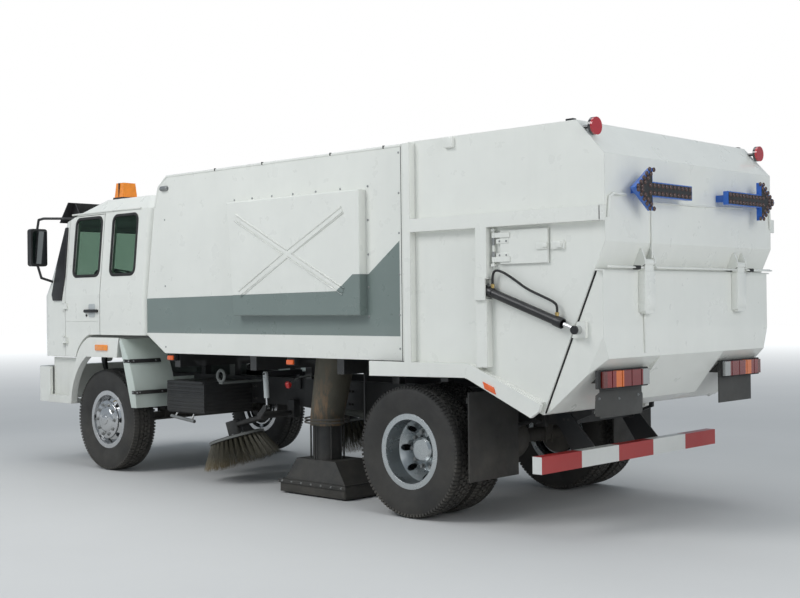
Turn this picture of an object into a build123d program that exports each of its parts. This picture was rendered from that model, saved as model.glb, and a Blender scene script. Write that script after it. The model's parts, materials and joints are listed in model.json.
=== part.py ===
from build123d import *
from math import atan2, degrees, hypot, radians, tan
import os

os.makedirs("parts", exist_ok=True)

# A two-axle street sweeper truck in millimetres: X forward, Y to its left, Z up from the ground.
# The origin is on the ground under the middle of the overall box.

# Overall sizes
overall_length = 7400
rear_overhang = 1900
front_overhang = 1300
body_half_width = 1235
rear_axle_x = -overall_length / 2 + rear_overhang
front_end_x = overall_length / 2
front_axle_x = front_end_x - front_overhang
running_gap = 0.05
panel_gap = 6

# Tyres and rims
tyre_radius = 506
tyre_width = 250
tread_half_width = 100
rim_seat_radius = 254
rim_flange_radius = 288
rim_half_width = 95
rim_wall = 10
disc_wall = 12
twin_spacing = 300
front_wheel_y = 990
rear_twin_y = 935
axle_z = tyre_radius
front_disc_offset = 105
front_hub_radius = 128
rear_hub_radius = 96
hand_hole_count = 8
hand_hole_radius = 26

drum_radius = 205
drum_inner_radius = 190
disc_land_radius = 175
disc_bore_radius = 90

# Frame
rail_top = 950
rail_height = 250
rail_flange = 75
rail_wall = 8
rail_outer_y = 430
frame_rear_x = rear_axle_x - 960
frame_front_x = front_axle_x + 1050
rail_bottom = rail_top - rail_height
crossmember_wall = 60
tower_wall = 30
crossmember_height = 90
crossmember_table = [
    # middle along X, lower edge
    (frame_rear_x + 40, rail_bottom + rail_wall),
    (rear_axle_x - 200, rail_bottom + rail_wall),
    (rear_axle_x + 1400, rail_bottom + 90),
    (front_axle_x - 1500, rail_bottom + 130),
    (frame_front_x - 100, rail_bottom + 90),
]
ram_bearer_x = rear_axle_x + 970
engine_half_width = 330
gearbox_half_width = 180
shaft_radius = 50
sweeper_engine_rear_x = rear_axle_x + 1950
sweeper_engine_front_x = rear_axle_x + 2950
sweeper_engine_height = 650
box_rear_x = front_axle_x - 1440
box_front_x = front_axle_x - 870
box_outer_y = 1000
battery_low = 620
battery_top = 920
tank_low = 600
tank_top = 930
tank_round = 90

# Steering
kingpin_y = 860
kingpin_radius = 20
kingpin_eye_radius = 40
kingpin_eye_height = 90
knuckle_lug = 30
knuckle_gap = 5
spindle_radius = 30
spindle_root_y = 925

# Rear axle
axle_tube_radius = 60
axle_stub_radius = 45
bowl_radius = 190

# Springs: one row for each leaf pack: axle position, side offset, height of the saddle, span
leaf_thickness = 12
leaf_width = 70
leaf_count = 6
spring_eye_radius = 22
spring_cheek = 10
front_spring_y = 400
front_spring_span = 1300
front_saddle_z = 566
rear_spring_y = 505
rear_spring_span = 1400
rear_saddle_z = 600
spring_table = [
    # x, y, z of the saddle, span, camber
    (front_axle_x, front_spring_y, front_saddle_z, front_spring_span, 38),
    (rear_axle_x, rear_spring_y, rear_saddle_z, rear_spring_span, 60),
]

# Sweeper house between the cab and the hopper
house_rear_x = rear_axle_x + 75
house_front_x = front_axle_x - 770
house_bottom = 1190
house_top = 2850
house_wall = 30
house_panel_y = 1150
house_chin_x = house_front_x - 285
house_chin_z = 1360
house_lean_z = 1690
house_brow_x = house_front_x - 133
house_brow_z = 2567
house_top_front_x = house_front_x - 320
bulge_rear_x = rear_axle_x + 475
bulge_front_top_x = house_front_x - 1305
bulge_front_low_x = house_front_x - 1400
bulge_low = 1540
bulge_top = 2530
bulge_depth = 80
rib_width = 34
rib_height = 6
bearer_length = 80
house_panel_wall = 25
bearer_table = [rear_axle_x + 300, rear_axle_x + 850, rear_axle_x + 1950, house_front_x - 380]

# Hopper
hopper_half_width = 1174
hopper_wall = 40
hopper_front_x = rear_axle_x - 4
hopper_floor = 1090
hopper_roof = 2855
hopper_peak_x = rear_axle_x - 1557
hopper_rear_x = rear_axle_x - 1777
hopper_chamfer_z = hopper_roof - 240
hopper_taper_z = 2029
hopper_knee_x = rear_axle_x - 620
seal_top_x = rear_axle_x - 1694
seal_top_z = 1848
seal_low_x = rear_axle_x - 1255
seal_low_z = 850
post_width = 72
second_post_front_x = rear_axle_x - 711
second_post_width = 103
rail_band_low = 2165
rail_band_top = 2265
skirt_thickness = 30
skirt_drop = 115
skirt_front_x = rear_axle_x + 371
skirt_knee_x = rear_axle_x - 647
skirt_rear_x = rear_axle_x - 1306
skirt_top = 1188
skirt_rear_top = 927
hopper_beam_y = 300
hopper_lug_inner_y = 295
hopper_lug_outer_y = 345
hopper_beam_width = 80
hopper_tip_x = rear_axle_x - 1100
hopper_tip_z = 840
tip_pin_radius = 25
door_hatch_rear_x = rear_axle_x - 1324
door_hatch_front_x = rear_axle_x - 908
door_hatch_low = 1900
door_hatch_top = 2140
door_hatch_wall = 14
door_hatch_gap = 6
door_hatch_pin_x = rear_axle_x - 850
door_hatch_pin_y = hopper_half_width + 21
door_hatch_pin_radius = 8
door_hatch_strap = 36

# Tailgate
gate_gap = 12
gate_half_width = 1159
gate_rear_x = rear_axle_x - 1745
gate_top = 1838
gate_fold_z = 1245
gate_lip_x = rear_axle_x - 1288
gate_lip_z = 862
gate_wall = 40
chute_half_width = 450
chute_low_x = rear_axle_x - 1500
chute_low_z = 925
gate_hinge_x = rear_axle_x - 1772
gate_hinge_z = 1895
gate_hinge_y = 655
hinge_arm_width = 110
hinge_arm_depth = 45
hinge_arm_low = 1540
hinge_pin_radius = 12
hinge_knuckle_radius = 26
hinge_ear = 18

# Boards and lamps at the rear
arrow_face_x = rear_axle_x - 1900
arrow_depth = 40
arrow_tail_y = 260
arrow_neck_y = 780
arrow_tip_y = 1000
arrow_mid_z = 2385
arrow_shaft_half = 50
arrow_head_half = 145
roof_lamp_x = rear_axle_x - 1690
roof_lamp_y = 1150
roof_lamp_z = hopper_roof - 55
roof_lamp_radius = 60
tail_lamp_x = rear_axle_x - 1684
tail_lamp_inner_y = 530
tail_lamp_outer_y = 1120
tail_lamp_low = 1040
tail_lamp_top = 1165
tail_lamp_table = [
    # inner edge, outer edge of each lens
    (540, 640),
    (650, 760),
    (770, 880),
    (890, 1000),
    (1010, 1110),
]
lamp_plate_low = 840

# Cylinders of the gate
gate_cyl_y = 1212
gate_cyl_radius = 32
gate_rod_radius = 16
gate_anchor_x = rear_axle_x - 767
gate_anchor_z = 1727
gate_eye_x = rear_axle_x - 1568
gate_eye_z = 1440
gate_eye_radius = 30
gate_eye_half = 21
gate_barrel_length = 700
gate_flange_half = 1204
gate_pin_radius = 14

# Tipping ram
ram_foot_x = rear_axle_x + 800
ram_foot_z = 660
ram_head_x = rear_axle_x - 650
ram_head_z = 1020
ram_rod_root = 480
ram_radius = 55
ram_rod_radius = 35
ram_eye_radius = 45
ram_eye_half = 35
ram_pin_radius = 20
ram_barrel_length = 950

# Cab
cab_half_width = 1150
cab_roof_half_width = 1070
cab_wall = 40
cab_rear_x = front_axle_x - 740
cab_sill_z = 1352
cab_arch_x = front_axle_x + 230
cab_arch_mid_x = front_axle_x + 386
cab_arch_mid_z = 1270
cab_arch_end_x = front_axle_x + 490
cab_low_z = 1120
cab_front_x = front_axle_x + 1180
cab_nose_z = 1750
cab_screen_low_x = front_axle_x + 1100
cab_screen_low_z = 1900
cab_screen_top_x = front_axle_x + 850
cab_screen_top_z = 2520
cab_gutter_z = 2580
cab_gutter_x = front_axle_x + 650
cab_roof_z = 2720
cab_roof_rear_x = front_axle_x - 600
cab_roof_front_x = front_axle_x + 300
cab_roof_edge_half = 930
cab_rear_radius = 65
cab_sections = [
    # height, rear x, front x, half width, front corner radius, lowering of the inner face
    (cab_low_z, cab_rear_x, cab_front_x, cab_half_width, 190, 0),
    (cab_nose_z, cab_rear_x, cab_front_x, cab_half_width, 190, 0),
    (cab_screen_low_z, cab_rear_x, cab_screen_low_x, cab_half_width - 14, 190, 0),
    (cab_screen_top_z, cab_rear_x, cab_screen_top_x, cab_half_width - 72, 170, 30),
    (cab_gutter_z, cab_rear_x, cab_gutter_x, cab_roof_half_width, 150, 40),
    (cab_roof_z, cab_roof_rear_x, cab_roof_front_x, cab_roof_edge_half, 120, 40),
]
cab_floor_low = 1000
screen_half_width = 900
screen_top_z = 2440
seat_x = front_axle_x + 150
seat_y = 520
seat_top_z = 1740
dash_rear_x = front_axle_x + 830
dash_low_z = 1500
dash_top_z = 1880
dash_half_width = 1060
mirror_x = front_axle_x + 980
mirror_y = 1290
mirror_low = 2060
mirror_top = 2450
mirror_arm_radius = 13
mirror_arms = [
    [(mirror_x, mirror_y, mirror_top - 20), (mirror_x - 15, mirror_y - 12, mirror_top + 95),
     (mirror_x - 40, mirror_y - 55, mirror_top + 110), (mirror_x - 320, mirror_y - 305, mirror_top + 105)],
    [(mirror_x, mirror_y, mirror_low + 20), (mirror_x - 10, mirror_y - 40, mirror_low - 120),
     (mirror_x - 50, mirror_y - 220, mirror_low - 180)],
]
visor_top_x = front_axle_x + 850
visor_top_z = 2735
visor_low_x = front_axle_x + 1020
visor_low_z = 2530
visor_half_width = 1000
beacon_x = front_axle_x + 80
beacon_y = 800
beacon_top_z = cab_roof_z + 170
beacon_length = 150
beacon_width = 170
beacon_base = 26
door_rear_x = front_axle_x + 45
door_front_x = front_axle_x + 675
door_top_z = 2560
door_header_y = 1028
door_rear_gap = 10
door_hinge_x = door_front_x + 1
door_hinge_lean = 0.0528
door_hinge_low_y = cab_half_width + 38
door_hinge_pin = 5
door_hinge_half = 30
door_hinge_heights = [1290, 1640]
window_low_z = 1955
window_top_z = 2525
door_window_rear_x = front_axle_x + 90
door_window_front_x = front_axle_x + 545
side_window_rear_x = front_axle_x - 525
side_window_front_x = front_axle_x - 125
glass_thickness = 6
cab_tilt_x = front_axle_x + 1100
cab_tilt_z = 1060
cab_pivot_radius = 15
cab_ear_inner_y = 330
cab_ear_outer_y = 385

# Bumper and fenders
bumper_top = 1010
bumper_low = 640
bumper_lip = 125
bumper_half_width = 1145
bumper_wrap = 310
bumper_wall = 30
bumper_corner = 140
lamp_inner_y = 720
lamp_outer_y = 980
lamp_low = 790
lamp_top = 930
lamp_depth = 18
fender_outer_y = 1165
fender_inner_y = 1095
fender_top = 1325
fender_gap = 26
arch_top = 1130
fender_rear_x = front_axle_x - 305
leg_x = front_axle_x + 555
step_top = 720
guard_rear_x = front_axle_x - 600
guard_top_x = front_axle_x - 345
guard_low_z = 652
guard_inner_y = 690
flap_x = rear_axle_x - 620

# Brushes
brush_centre = (rear_axle_x + 2600, 750, 420)
brush_tilt_forward = 16
brush_tilt_out = 5
brush_plate_radius = 255
brush_tip_radius = 335
brush_height = 265
brush_arm_x = rear_axle_x + 2120
brush_arm_y = 560
brush_arm_z = 640
brush_arm_radius = 32
brush_pin_radius = 22
brush_motor_radius = 70
brush_motor_height = 140
brush_cyl_top_x = rear_axle_x + 2060
brush_cyl_y = 850
brush_cyl_top_z = 1015
brush_cyl_eye_x = rear_axle_x + 2040
brush_cyl_eye_z = 720
brush_cyl_pin = 10
brush_cyl_radius = 24
brush_cyl_rod_radius = 11
brush_eye_radius = 20
brush_eye_half = 15
brush_barrel_length = 215
brush_rod_root = 62
brush_plate_gap = 6
brush_spindle = 15

# Suction
tube_radius = 170
tube_top_x = rear_axle_x + 1280
tube_low_x = rear_axle_x + 1400
tube_y = 720
tube_low_z = 590
tube_cuff_z = 652
nozzle_x = rear_axle_x + 1350
nozzle_y = 690
nozzle_length = 800
nozzle_width = 520
nozzle_clearance = 35
nozzle_shoulder_z = 300
neck_radius = 125
tube_flare = 22
tube_wall = 10
tube_fit = 0.3

bar_x = rear_axle_x - 1213
bar_half_width = 1195
bar_low = 440
bar_top = 560
bar_depth = 80


def plate(points, y_low, y_high):
    """A plate whose outline lies in the XZ plane, between two Y values."""
    with BuildPart() as piece:
        with BuildSketch(Plane.XZ.offset(-y_low)):
            with BuildLine():
                Polyline(*points, close=True)
            make_face()
        extrude(amount=-(y_high - y_low))
    return piece.part


def block(x_low, x_high, y_low, y_high, z_low, z_high):
    """A box between two corners."""
    with BuildPart() as piece:
        with Locations(((x_low + x_high) / 2, (y_low + y_high) / 2, (z_low + z_high) / 2)):
            Box(x_high - x_low, y_high - y_low, z_high - z_low)
    return piece.part


def rod(start, end, radius, bore=0):
    """A round bar from one point to another, hollow where it has a bore."""
    direction = Vector(*end) - Vector(*start)
    with BuildPart() as piece:
        with BuildSketch(Plane(origin=start, z_dir=direction)):
            Circle(radius)
            if bore:
                Circle(bore, mode=Mode.SUBTRACT)
        extrude(amount=direction.length)
    return piece.part


def mirrored(part):
    """The same piece on the other side of the truck."""
    return mirror(part, about=Plane.XZ)


def save(part, name):
    """Label a finished piece and write it."""
    part.label = name
    export_step(part, f"parts/{name}.step")


def save_pair(part, name):
    """Write a left piece and its mirror image on the right."""
    save(part, f"{name}_left")
    save(mirrored(part), f"{name}_right")


# Wheels

def make_tyre():
    with BuildPart() as tyre:
        with BuildSketch(Plane.XY):
            with BuildLine():
                seat = Line((rim_seat_radius, 0), (rim_seat_radius, rim_half_width))
                bead = Line(seat @ 1, (rim_flange_radius, rim_half_width))
                wall = ThreePointArc(bead @ 1, (395, tyre_width / 2), (tyre_radius - 24,
                                                                       tread_half_width + 14))
                shoulder = Line(wall @ 1, (tyre_radius, tread_half_width))
                Line(shoulder @ 1, (tyre_radius, 0))
                mirror(about=Plane.XZ)
            make_face()
        revolve(axis=Axis.Y)
    return tyre.part


def make_rim(disc_offset):
    """Rim barrel with a dished disc and its hand holes, turning about Y.
    The disc bulges to the side that the sign of disc_offset gives."""
    side = 1 if disc_offset > 0 else -1
    inner = rim_seat_radius - rim_wall
    lip = rim_half_width + rim_wall
    bowl = side * 55
    with BuildPart() as rim:
        with BuildSketch(Plane.XY):
            with BuildLine():
                Polyline(
                    (inner, -lip), (rim_flange_radius, -lip), (rim_flange_radius, -rim_half_width),
                    (rim_seat_radius, -rim_half_width), (rim_seat_radius, rim_half_width),
                    (rim_flange_radius, rim_half_width), (rim_flange_radius, lip), (inner, lip), close=True)
            make_face()
            with BuildLine():
                Polyline(
                    (inner + 2, bowl), (disc_land_radius, disc_offset), (disc_bore_radius, disc_offset),
                    (disc_bore_radius, disc_offset - side * disc_wall),
                    (disc_land_radius, disc_offset - side * disc_wall), (inner + 2, bowl - side * disc_wall),
                    close=True)
            make_face()
        revolve(axis=Axis.Y)
        with Locations(Plane(origin=(0, (bowl + disc_offset) / 2, 0), z_dir=(0, 1, 0))):
            with PolarLocations((inner + disc_land_radius) / 2, hand_hole_count):
                Cylinder(hand_hole_radius, abs(disc_offset), mode=Mode.SUBTRACT)
    return rim.part


def turned(points):
    """A piece turned about Y from an outline of radius and height pairs."""
    with BuildPart() as piece:
        with BuildSketch(Plane.XY):
            with BuildLine():
                Polyline(*points, close=True)
            make_face()
        revolve(axis=Axis.Y)
    return piece.part


spindle_bore = spindle_radius + running_gap
front_hub = turned([
    (spindle_bore, -60), (75, -60), (75, -12), (drum_inner_radius, -12), (drum_inner_radius, -95),
    (drum_radius, -95), (drum_radius, 0), (85, 0), (85, front_disc_offset - disc_wall),
    (front_hub_radius, front_disc_offset - disc_wall), (front_hub_radius, front_disc_offset + 8),
    (front_hub_radius - 22, front_disc_offset + 16), (0, front_disc_offset + 22), (0, 62),
    (spindle_bore, 62)])
stub_bore = axle_stub_radius + running_gap
rear_hub = turned([
    (stub_bore, -150), (rear_hub_radius, -150), (rear_hub_radius, -30), (drum_inner_radius, -30),
    (drum_inner_radius, -200), (drum_radius, -200), (drum_radius, -disc_wall), (rear_hub_radius, -disc_wall),
    (rear_hub_radius, 105), (rear_hub_radius - 18, 120), (0, 120), (0, 102), (stub_bore, 102)])

with BuildPart() as tyre_front:
    with Locations((front_axle_x, front_wheel_y, axle_z)):
        add(make_tyre())
save_pair(tyre_front.part, "tyre_front")

with BuildPart() as rim_front:
    with Locations((front_axle_x, front_wheel_y, axle_z)):
        add(make_rim(front_disc_offset))
        add(front_hub)
save_pair(rim_front.part, "rim_front")

twin_y = (rear_twin_y - twin_spacing / 2, rear_twin_y + twin_spacing / 2)
with BuildPart() as tyres_rear:
    with Locations(*[(rear_axle_x, y, axle_z) for y in twin_y]):
        add(make_tyre())
save_pair(tyres_rear.part, "tyres_rear")

with BuildPart() as rims_rear:
    with Locations((rear_axle_x, twin_y[0], axle_z)):
        add(make_rim(twin_spacing / 2))
    with Locations((rear_axle_x, twin_y[1], axle_z)):
        add(make_rim(-twin_spacing / 2))
    with Locations((rear_axle_x, rear_twin_y, axle_z)):
        add(rear_hub)
save_pair(rims_rear.part, "rims_rear")


# Axles, steering and springs

eye_low = axle_z - kingpin_eye_height / 2
eye_top = axle_z + kingpin_eye_height / 2
lug_top = eye_top + knuckle_gap + knuckle_lug
lug_low = eye_low - knuckle_gap - knuckle_lug

with BuildPart() as front_axle:
    add(block(front_axle_x - 40, front_axle_x + 40, -kingpin_y, kingpin_y, axle_z - 45, axle_z - 25))
    add(block(front_axle_x - 10, front_axle_x + 10, -kingpin_y, kingpin_y, axle_z - 25, axle_z + 15))
    add(block(front_axle_x - 40, front_axle_x + 40, -kingpin_y, kingpin_y, axle_z + 15, axle_z + 35))
    for side in (-1, 1):
        add(rod((front_axle_x, side * kingpin_y, eye_low), (front_axle_x, side * kingpin_y, eye_top),
                kingpin_eye_radius))
        add(rod((front_axle_x, side * kingpin_y, lug_low), (front_axle_x, side * kingpin_y, lug_top),
                kingpin_radius))
        add(block(front_axle_x - 60, front_axle_x + 60, side * front_spring_y - leaf_width / 2,
                  side * front_spring_y + leaf_width / 2, axle_z + 35, front_saddle_z))
save(front_axle.part, "front_axle")

with BuildPart() as knuckle:
    for low, top in ((lug_low, lug_low + knuckle_lug), (lug_top - knuckle_lug, lug_top)):
        add(block(front_axle_x - 45, front_axle_x + 45, kingpin_y - 45, spindle_root_y, low, top))
    add(block(front_axle_x - 45, front_axle_x + 45, spindle_root_y - 20, spindle_root_y, lug_low, lug_top))
    add(rod((front_axle_x, kingpin_y, lug_low), (front_axle_x, kingpin_y, lug_top),
            kingpin_radius + running_gap), mode=Mode.SUBTRACT)
    add(rod((front_axle_x, spindle_root_y - 10, axle_z), (front_axle_x, front_wheel_y + 58, axle_z),
            spindle_radius))
    add(rod((front_axle_x, spindle_root_y - 10, axle_z), (front_axle_x, spindle_root_y, axle_z),
            drum_inner_radius - 5))
save_pair(knuckle.part, "knuckle")

stub_end_y = rear_twin_y + 100
housing_y = rear_twin_y - 215
with BuildPart() as rear_axle:
    add(rod((rear_axle_x, -housing_y, axle_z), (rear_axle_x, housing_y, axle_z), axle_tube_radius))
    add(rod((rear_axle_x, -stub_end_y, axle_z), (rear_axle_x, stub_end_y, axle_z), axle_stub_radius))
    with Locations((rear_axle_x, 0, axle_z)):
        Sphere(bowl_radius)
    add(rod((rear_axle_x, 0, axle_z), (rear_axle_x + bowl_radius + 90, 0, axle_z), 70))
    for side in (-1, 1):
        plate_y = side * (housing_y - 6)
        add(rod((rear_axle_x, plate_y - 6, axle_z), (rear_axle_x, plate_y + 6, axle_z),
                drum_inner_radius - 5))
        add(block(rear_axle_x - 70, rear_axle_x + 70, side * rear_spring_y - leaf_width / 2,
                  side * rear_spring_y + leaf_width / 2, axle_z, rear_saddle_z))
save(rear_axle.part, "rear_axle")


def leaf_pack(x, y, saddle_z, span, camber):
    """Leaves that grow longer upwards, with an eye at each end of the top one."""
    with BuildPart() as pack:
        with BuildSketch(Plane.XZ.offset(leaf_width / 2 - y)):
            for leaf in range(leaf_count):
                share = 1 - 0.13 * (leaf_count - 1 - leaf)
                half = span * share / 2
                low = saddle_z + leaf * leaf_thickness
                rise = camber * share ** 2
                with BuildLine():
                    under = ThreePointArc((x - half, low + rise), (x, low), (x + half, low + rise))
                    over = ThreePointArc((x + half, low + rise + leaf_thickness), (x, low + leaf_thickness),
                                         (x - half, low + rise + leaf_thickness))
                    Line(under @ 1, over @ 0)
                    Line(over @ 1, under @ 0)
                make_face()
            eye_z = saddle_z + (leaf_count - 0.5) * leaf_thickness + camber
            with Locations((x - span / 2, eye_z), (x + span / 2, eye_z)):
                Circle(spring_eye_radius)
        extrude(amount=-leaf_width)
    return pack.part


with BuildPart() as springs:
    for spring_x, spring_y, saddle_z, span, camber in spring_table:
        left_pack = leaf_pack(spring_x, spring_y, saddle_z, span, camber)
        add(left_pack)
        add(mirrored(left_pack))
save(springs.part, "springs")


# Frame

rail_inner_y = rail_outer_y - rail_flange
web_y = rail_outer_y - rail_wall
tower_inner_y = rail_outer_y - tower_wall
with BuildPart() as left_rail:
    with BuildSketch(Plane.YZ.offset(frame_rear_x)):
        with BuildLine():
            Polyline(
                (rail_outer_y, rail_bottom), (rail_outer_y, rail_top), (rail_inner_y, rail_top),
                (rail_inner_y, rail_top - rail_wall), (web_y, rail_top - rail_wall),
                (web_y, rail_bottom + rail_wall), (rail_inner_y, rail_bottom + rail_wall),
                (rail_inner_y, rail_bottom), close=True)
        make_face()
    extrude(amount=frame_front_x - frame_rear_x)

with BuildPart() as ram_bearer:
    add(block(ram_bearer_x - crossmember_wall / 2, ram_bearer_x + crossmember_wall / 2, -web_y, web_y,
              rail_bottom + rail_wall, rail_bottom + rail_wall + crossmember_height))
    ram_cheek_inner = ram_eye_half + 0.5
    for low, high in ((ram_cheek_inner, ram_cheek_inner + 16), (-ram_cheek_inner - 16, -ram_cheek_inner)):
        add(block(ram_foot_x - 50, ram_bearer_x, low, high, ram_foot_z - 45, ram_foot_z + 110))
    add(rod((ram_foot_x, -ram_cheek_inner - 16, ram_foot_z), (ram_foot_x, ram_cheek_inner + 16, ram_foot_z),
            ram_pin_radius))

crossmembers = [
    block(x - crossmember_wall / 2, x + crossmember_wall / 2, -web_y, web_y, low, low + crossmember_height)
    for x, low in crossmember_table]

# Fittings welded to the left rail, each cut back to the rail and the cross members
with BuildPart() as rail_fittings:
    # Tower of the cab's tilt pin, and the bumper's bracket
    add(plate([
        (frame_front_x - 130, rail_top), (frame_front_x - 130, rail_top - 100),
        (frame_front_x, rail_top - 100), (cab_tilt_x + 30, cab_tilt_z - 20),
        (cab_tilt_x + 30, cab_tilt_z + 25),
        (cab_tilt_x - 30, cab_tilt_z + 25), (cab_tilt_x - 60, rail_top)], tower_inner_y, rail_outer_y))
    add(block(frame_front_x - 60, front_end_x - bumper_wall, web_y - 40, rail_outer_y,
              bumper_low + 130, bumper_low + 200))
    # Rear end with the hopper's tipping pin
    add(plate([
        (frame_rear_x + 60, rail_bottom + 60), (frame_rear_x + 60, rail_top - 20),
        (frame_rear_x, rail_top - 60), (hopper_tip_x - 45, hopper_tip_z + 30),
        (hopper_tip_x - 45, hopper_tip_z - 45), (frame_rear_x, rail_bottom + 20)],
        tower_inner_y, rail_outer_y))
    # Hangers of the leaf springs
    for end in (-1, 1):
        eye_x = front_axle_x + end * front_spring_span / 2
        for inner in (front_spring_y - leaf_width / 2 - 0.3 - spring_cheek,
                      front_spring_y + leaf_width / 2 + 0.3):
            add(block(eye_x - 35, eye_x + 35, inner, inner + spring_cheek, rail_bottom - 55, rail_bottom))
        eye_x = rear_axle_x + end * rear_spring_span / 2
        add(block(eye_x - 45, eye_x + 45, rail_outer_y, rear_spring_y - leaf_width / 2 - 0.3,
                  rail_bottom - 20, rail_top - 120))
    # Rear rest of the cab
    add(block(cab_rear_x + 15, cab_rear_x + 75, rail_inner_y, rail_outer_y, rail_top, cab_sill_z - 0.3))
    # Pin and outrigger of the brush arm, and the top pin of its cylinder
    add(block(brush_arm_x - 45, brush_arm_x + 45, rail_outer_y, brush_arm_y - 60, brush_arm_z - 40,
              rail_bottom + 60))
    add(rod((brush_arm_x, brush_arm_y - 65, brush_arm_z), (brush_arm_x, brush_cyl_y + 30, brush_arm_z),
            brush_pin_radius))
    add(block(brush_cyl_top_x - 25, brush_cyl_top_x + 25, rail_outer_y, brush_cyl_y - 20,
              brush_cyl_top_z - 22, brush_cyl_top_z + 22))
    add(block(brush_cyl_top_x - 25, brush_cyl_top_x + 25, rail_outer_y, rail_outer_y + 25,
              rail_top - 90, brush_cyl_top_z + 22))
    add(rod((brush_cyl_top_x, brush_cyl_y - 22, brush_cyl_top_z), (brush_cyl_top_x, brush_cyl_y + 22,
                                                                   brush_cyl_top_z),
            brush_cyl_pin))
    for member in (left_rail.part, *crossmembers):
        add(member, mode=Mode.SUBTRACT)

# Pins welded to the towers' inner faces, for the cab's ears and the hopper's lugs
frame_pins = [
    rod((cab_tilt_x, cab_ear_inner_y, cab_tilt_z), (cab_tilt_x, tower_inner_y, cab_tilt_z),
        cab_pivot_radius),
    rod((hopper_tip_x, hopper_lug_inner_y, hopper_tip_z), (hopper_tip_x, tower_inner_y, hopper_tip_z),
        tip_pin_radius)]

left_side = [left_rail.part, *rail_fittings.solids(), *frame_pins]
right_side = [mirrored(member) for member in left_side]
save(Compound(children=[ram_bearer.part, *crossmembers, *left_side, *right_side]), "chassis_frame")

with BuildPart() as engines:
    add(block(front_axle_x - 450, front_axle_x + 210, -engine_half_width, engine_half_width,
              rail_bottom + 10, cab_sill_z - 60))
    add(block(front_axle_x + 200, front_axle_x + 420, -engine_half_width, engine_half_width,
              rail_bottom + 10, cab_low_z - 40))
    add(block(front_axle_x - 900, front_axle_x - 450, -gearbox_half_width, gearbox_half_width,
              rail_bottom - 20, rail_top - 40))
    add(rod((front_axle_x - 900, 0, rail_bottom + 60), (rear_axle_x + bowl_radius + 94.6, 0, axle_z),
            shaft_radius))
    # The sweeper's own engine stands on the floor of the house
    add(block(sweeper_engine_rear_x, sweeper_engine_front_x, -rail_outer_y, rail_outer_y,
              house_bottom + house_wall,
              house_bottom + house_wall + sweeper_engine_height))
save(engines.part, "engines")

with BuildPart() as battery_box:
    add(block(box_rear_x, box_front_x, rail_outer_y, box_outer_y, battery_low, battery_top))
    fillet(battery_box.edges().filter_by(Axis.X).group_by(Axis.Y)[-1], radius=30)
save(battery_box.part, "battery_box")

with BuildPart() as fuel_tank:
    add(block(box_rear_x, box_front_x, -box_outer_y, -rail_outer_y - 40, tank_low, tank_top))
    fillet(fuel_tank.edges().filter_by(Axis.X), radius=tank_round)
    for x in (box_rear_x + 100, box_front_x - 100):
        add(block(x - 30, x + 30, -rail_outer_y - 60, -rail_outer_y, tank_low + 110, tank_low + 220))
save(fuel_tank.part, "fuel_tank")

with BuildPart() as underride_bar:
    add(block(bar_x - bar_depth / 2, bar_x + bar_depth / 2, -bar_half_width, bar_half_width, bar_low,
              bar_top))
    for side in (-1, 1):
        low, high = sorted((side * rail_outer_y, side * (rail_outer_y + 12)))
        add(plate([
            (frame_rear_x + 120, rail_bottom + 5), (frame_rear_x + 120, rail_bottom + 90),
            (frame_rear_x, rail_bottom + 90),
            (bar_x + bar_depth / 2, bar_top), (bar_x + bar_depth / 2, bar_low), (frame_rear_x - 60, bar_low)],
            low, high))
save(underride_bar.part, "underride_bar")

with BuildPart() as bumper:
    with BuildSketch(Plane.XY.offset(bumper_low)):
        with Locations((front_end_x - bumper_wrap / 2, 0)):
            Rectangle(bumper_wrap, 2 * bumper_half_width)
    extrude(amount=bumper_top - bumper_low)
    fillet(bumper.edges().filter_by(Axis.Z).group_by(Axis.X)[-1], radius=bumper_corner)
    add(block(front_end_x - bumper_wrap - 10, front_end_x - bumper_wall, -bumper_half_width + bumper_wall,
              bumper_half_width - bumper_wall, bumper_low - 10, bumper_top - bumper_wall), mode=Mode.SUBTRACT)
    add(block(front_end_x - bumper_wrap - 10, front_end_x - bumper_lip, -bumper_half_width + bumper_wall,
              bumper_half_width - bumper_wall, bumper_low, bumper_top + 10), mode=Mode.SUBTRACT)
    for side in (-1, 1):
        low, high = sorted((side * (lamp_inner_y - 0.3), side * (lamp_outer_y + 0.3)))
        add(block(front_end_x - lamp_depth - 0.3, front_end_x + 5, low, high, lamp_low - 0.3, lamp_top + 0.3),
            mode=Mode.SUBTRACT)
save(bumper.part, "bumper")


def curved_band(outer, inner, y_low, y_high):
    """A band between two three-point arcs in the XZ plane."""
    with BuildPart() as band:
        with BuildSketch(Plane.XZ.offset(-y_low)):
            with BuildLine():
                outside = ThreePointArc(*outer)
                inside = ThreePointArc(*inner)
                Line(outside @ 0, inside @ 0)
                Line(outside @ 1, inside @ 1)
            make_face()
        extrude(amount=-(y_high - y_low))
    return band.part


fender_front_x = front_end_x - bumper_wrap
with BuildPart() as fender_band:
    # Band over the wheel with its front leg, drawn in from the cab's arch edge
    with BuildSketch(Plane.XZ.offset(-fender_inner_y)):
        with BuildLine():
            brow = Polyline(
                (fender_front_x, step_top), (fender_front_x, bumper_low), (leg_x, bumper_low))
            leg = ThreePointArc(brow @ 1, (front_axle_x + 470, 935), (front_axle_x + 270, arch_top))
            under = Line(leg @ 1, (fender_rear_x + 35, arch_top))
            rear = Line(under @ 1, (fender_rear_x, fender_top))
            over = Line(rear @ 1, (cab_arch_x - fender_gap / 2, fender_top))
            slope = ThreePointArc(over @ 1, (cab_arch_mid_x - fender_gap, cab_arch_mid_z - fender_gap),
                                  (cab_arch_end_x - fender_gap, cab_low_z - fender_gap))
            Polyline(slope @ 1, (leg_x + 50, step_top), (fender_front_x, step_top))
        make_face()
    extrude(amount=-(fender_outer_y - fender_inner_y))

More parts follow.
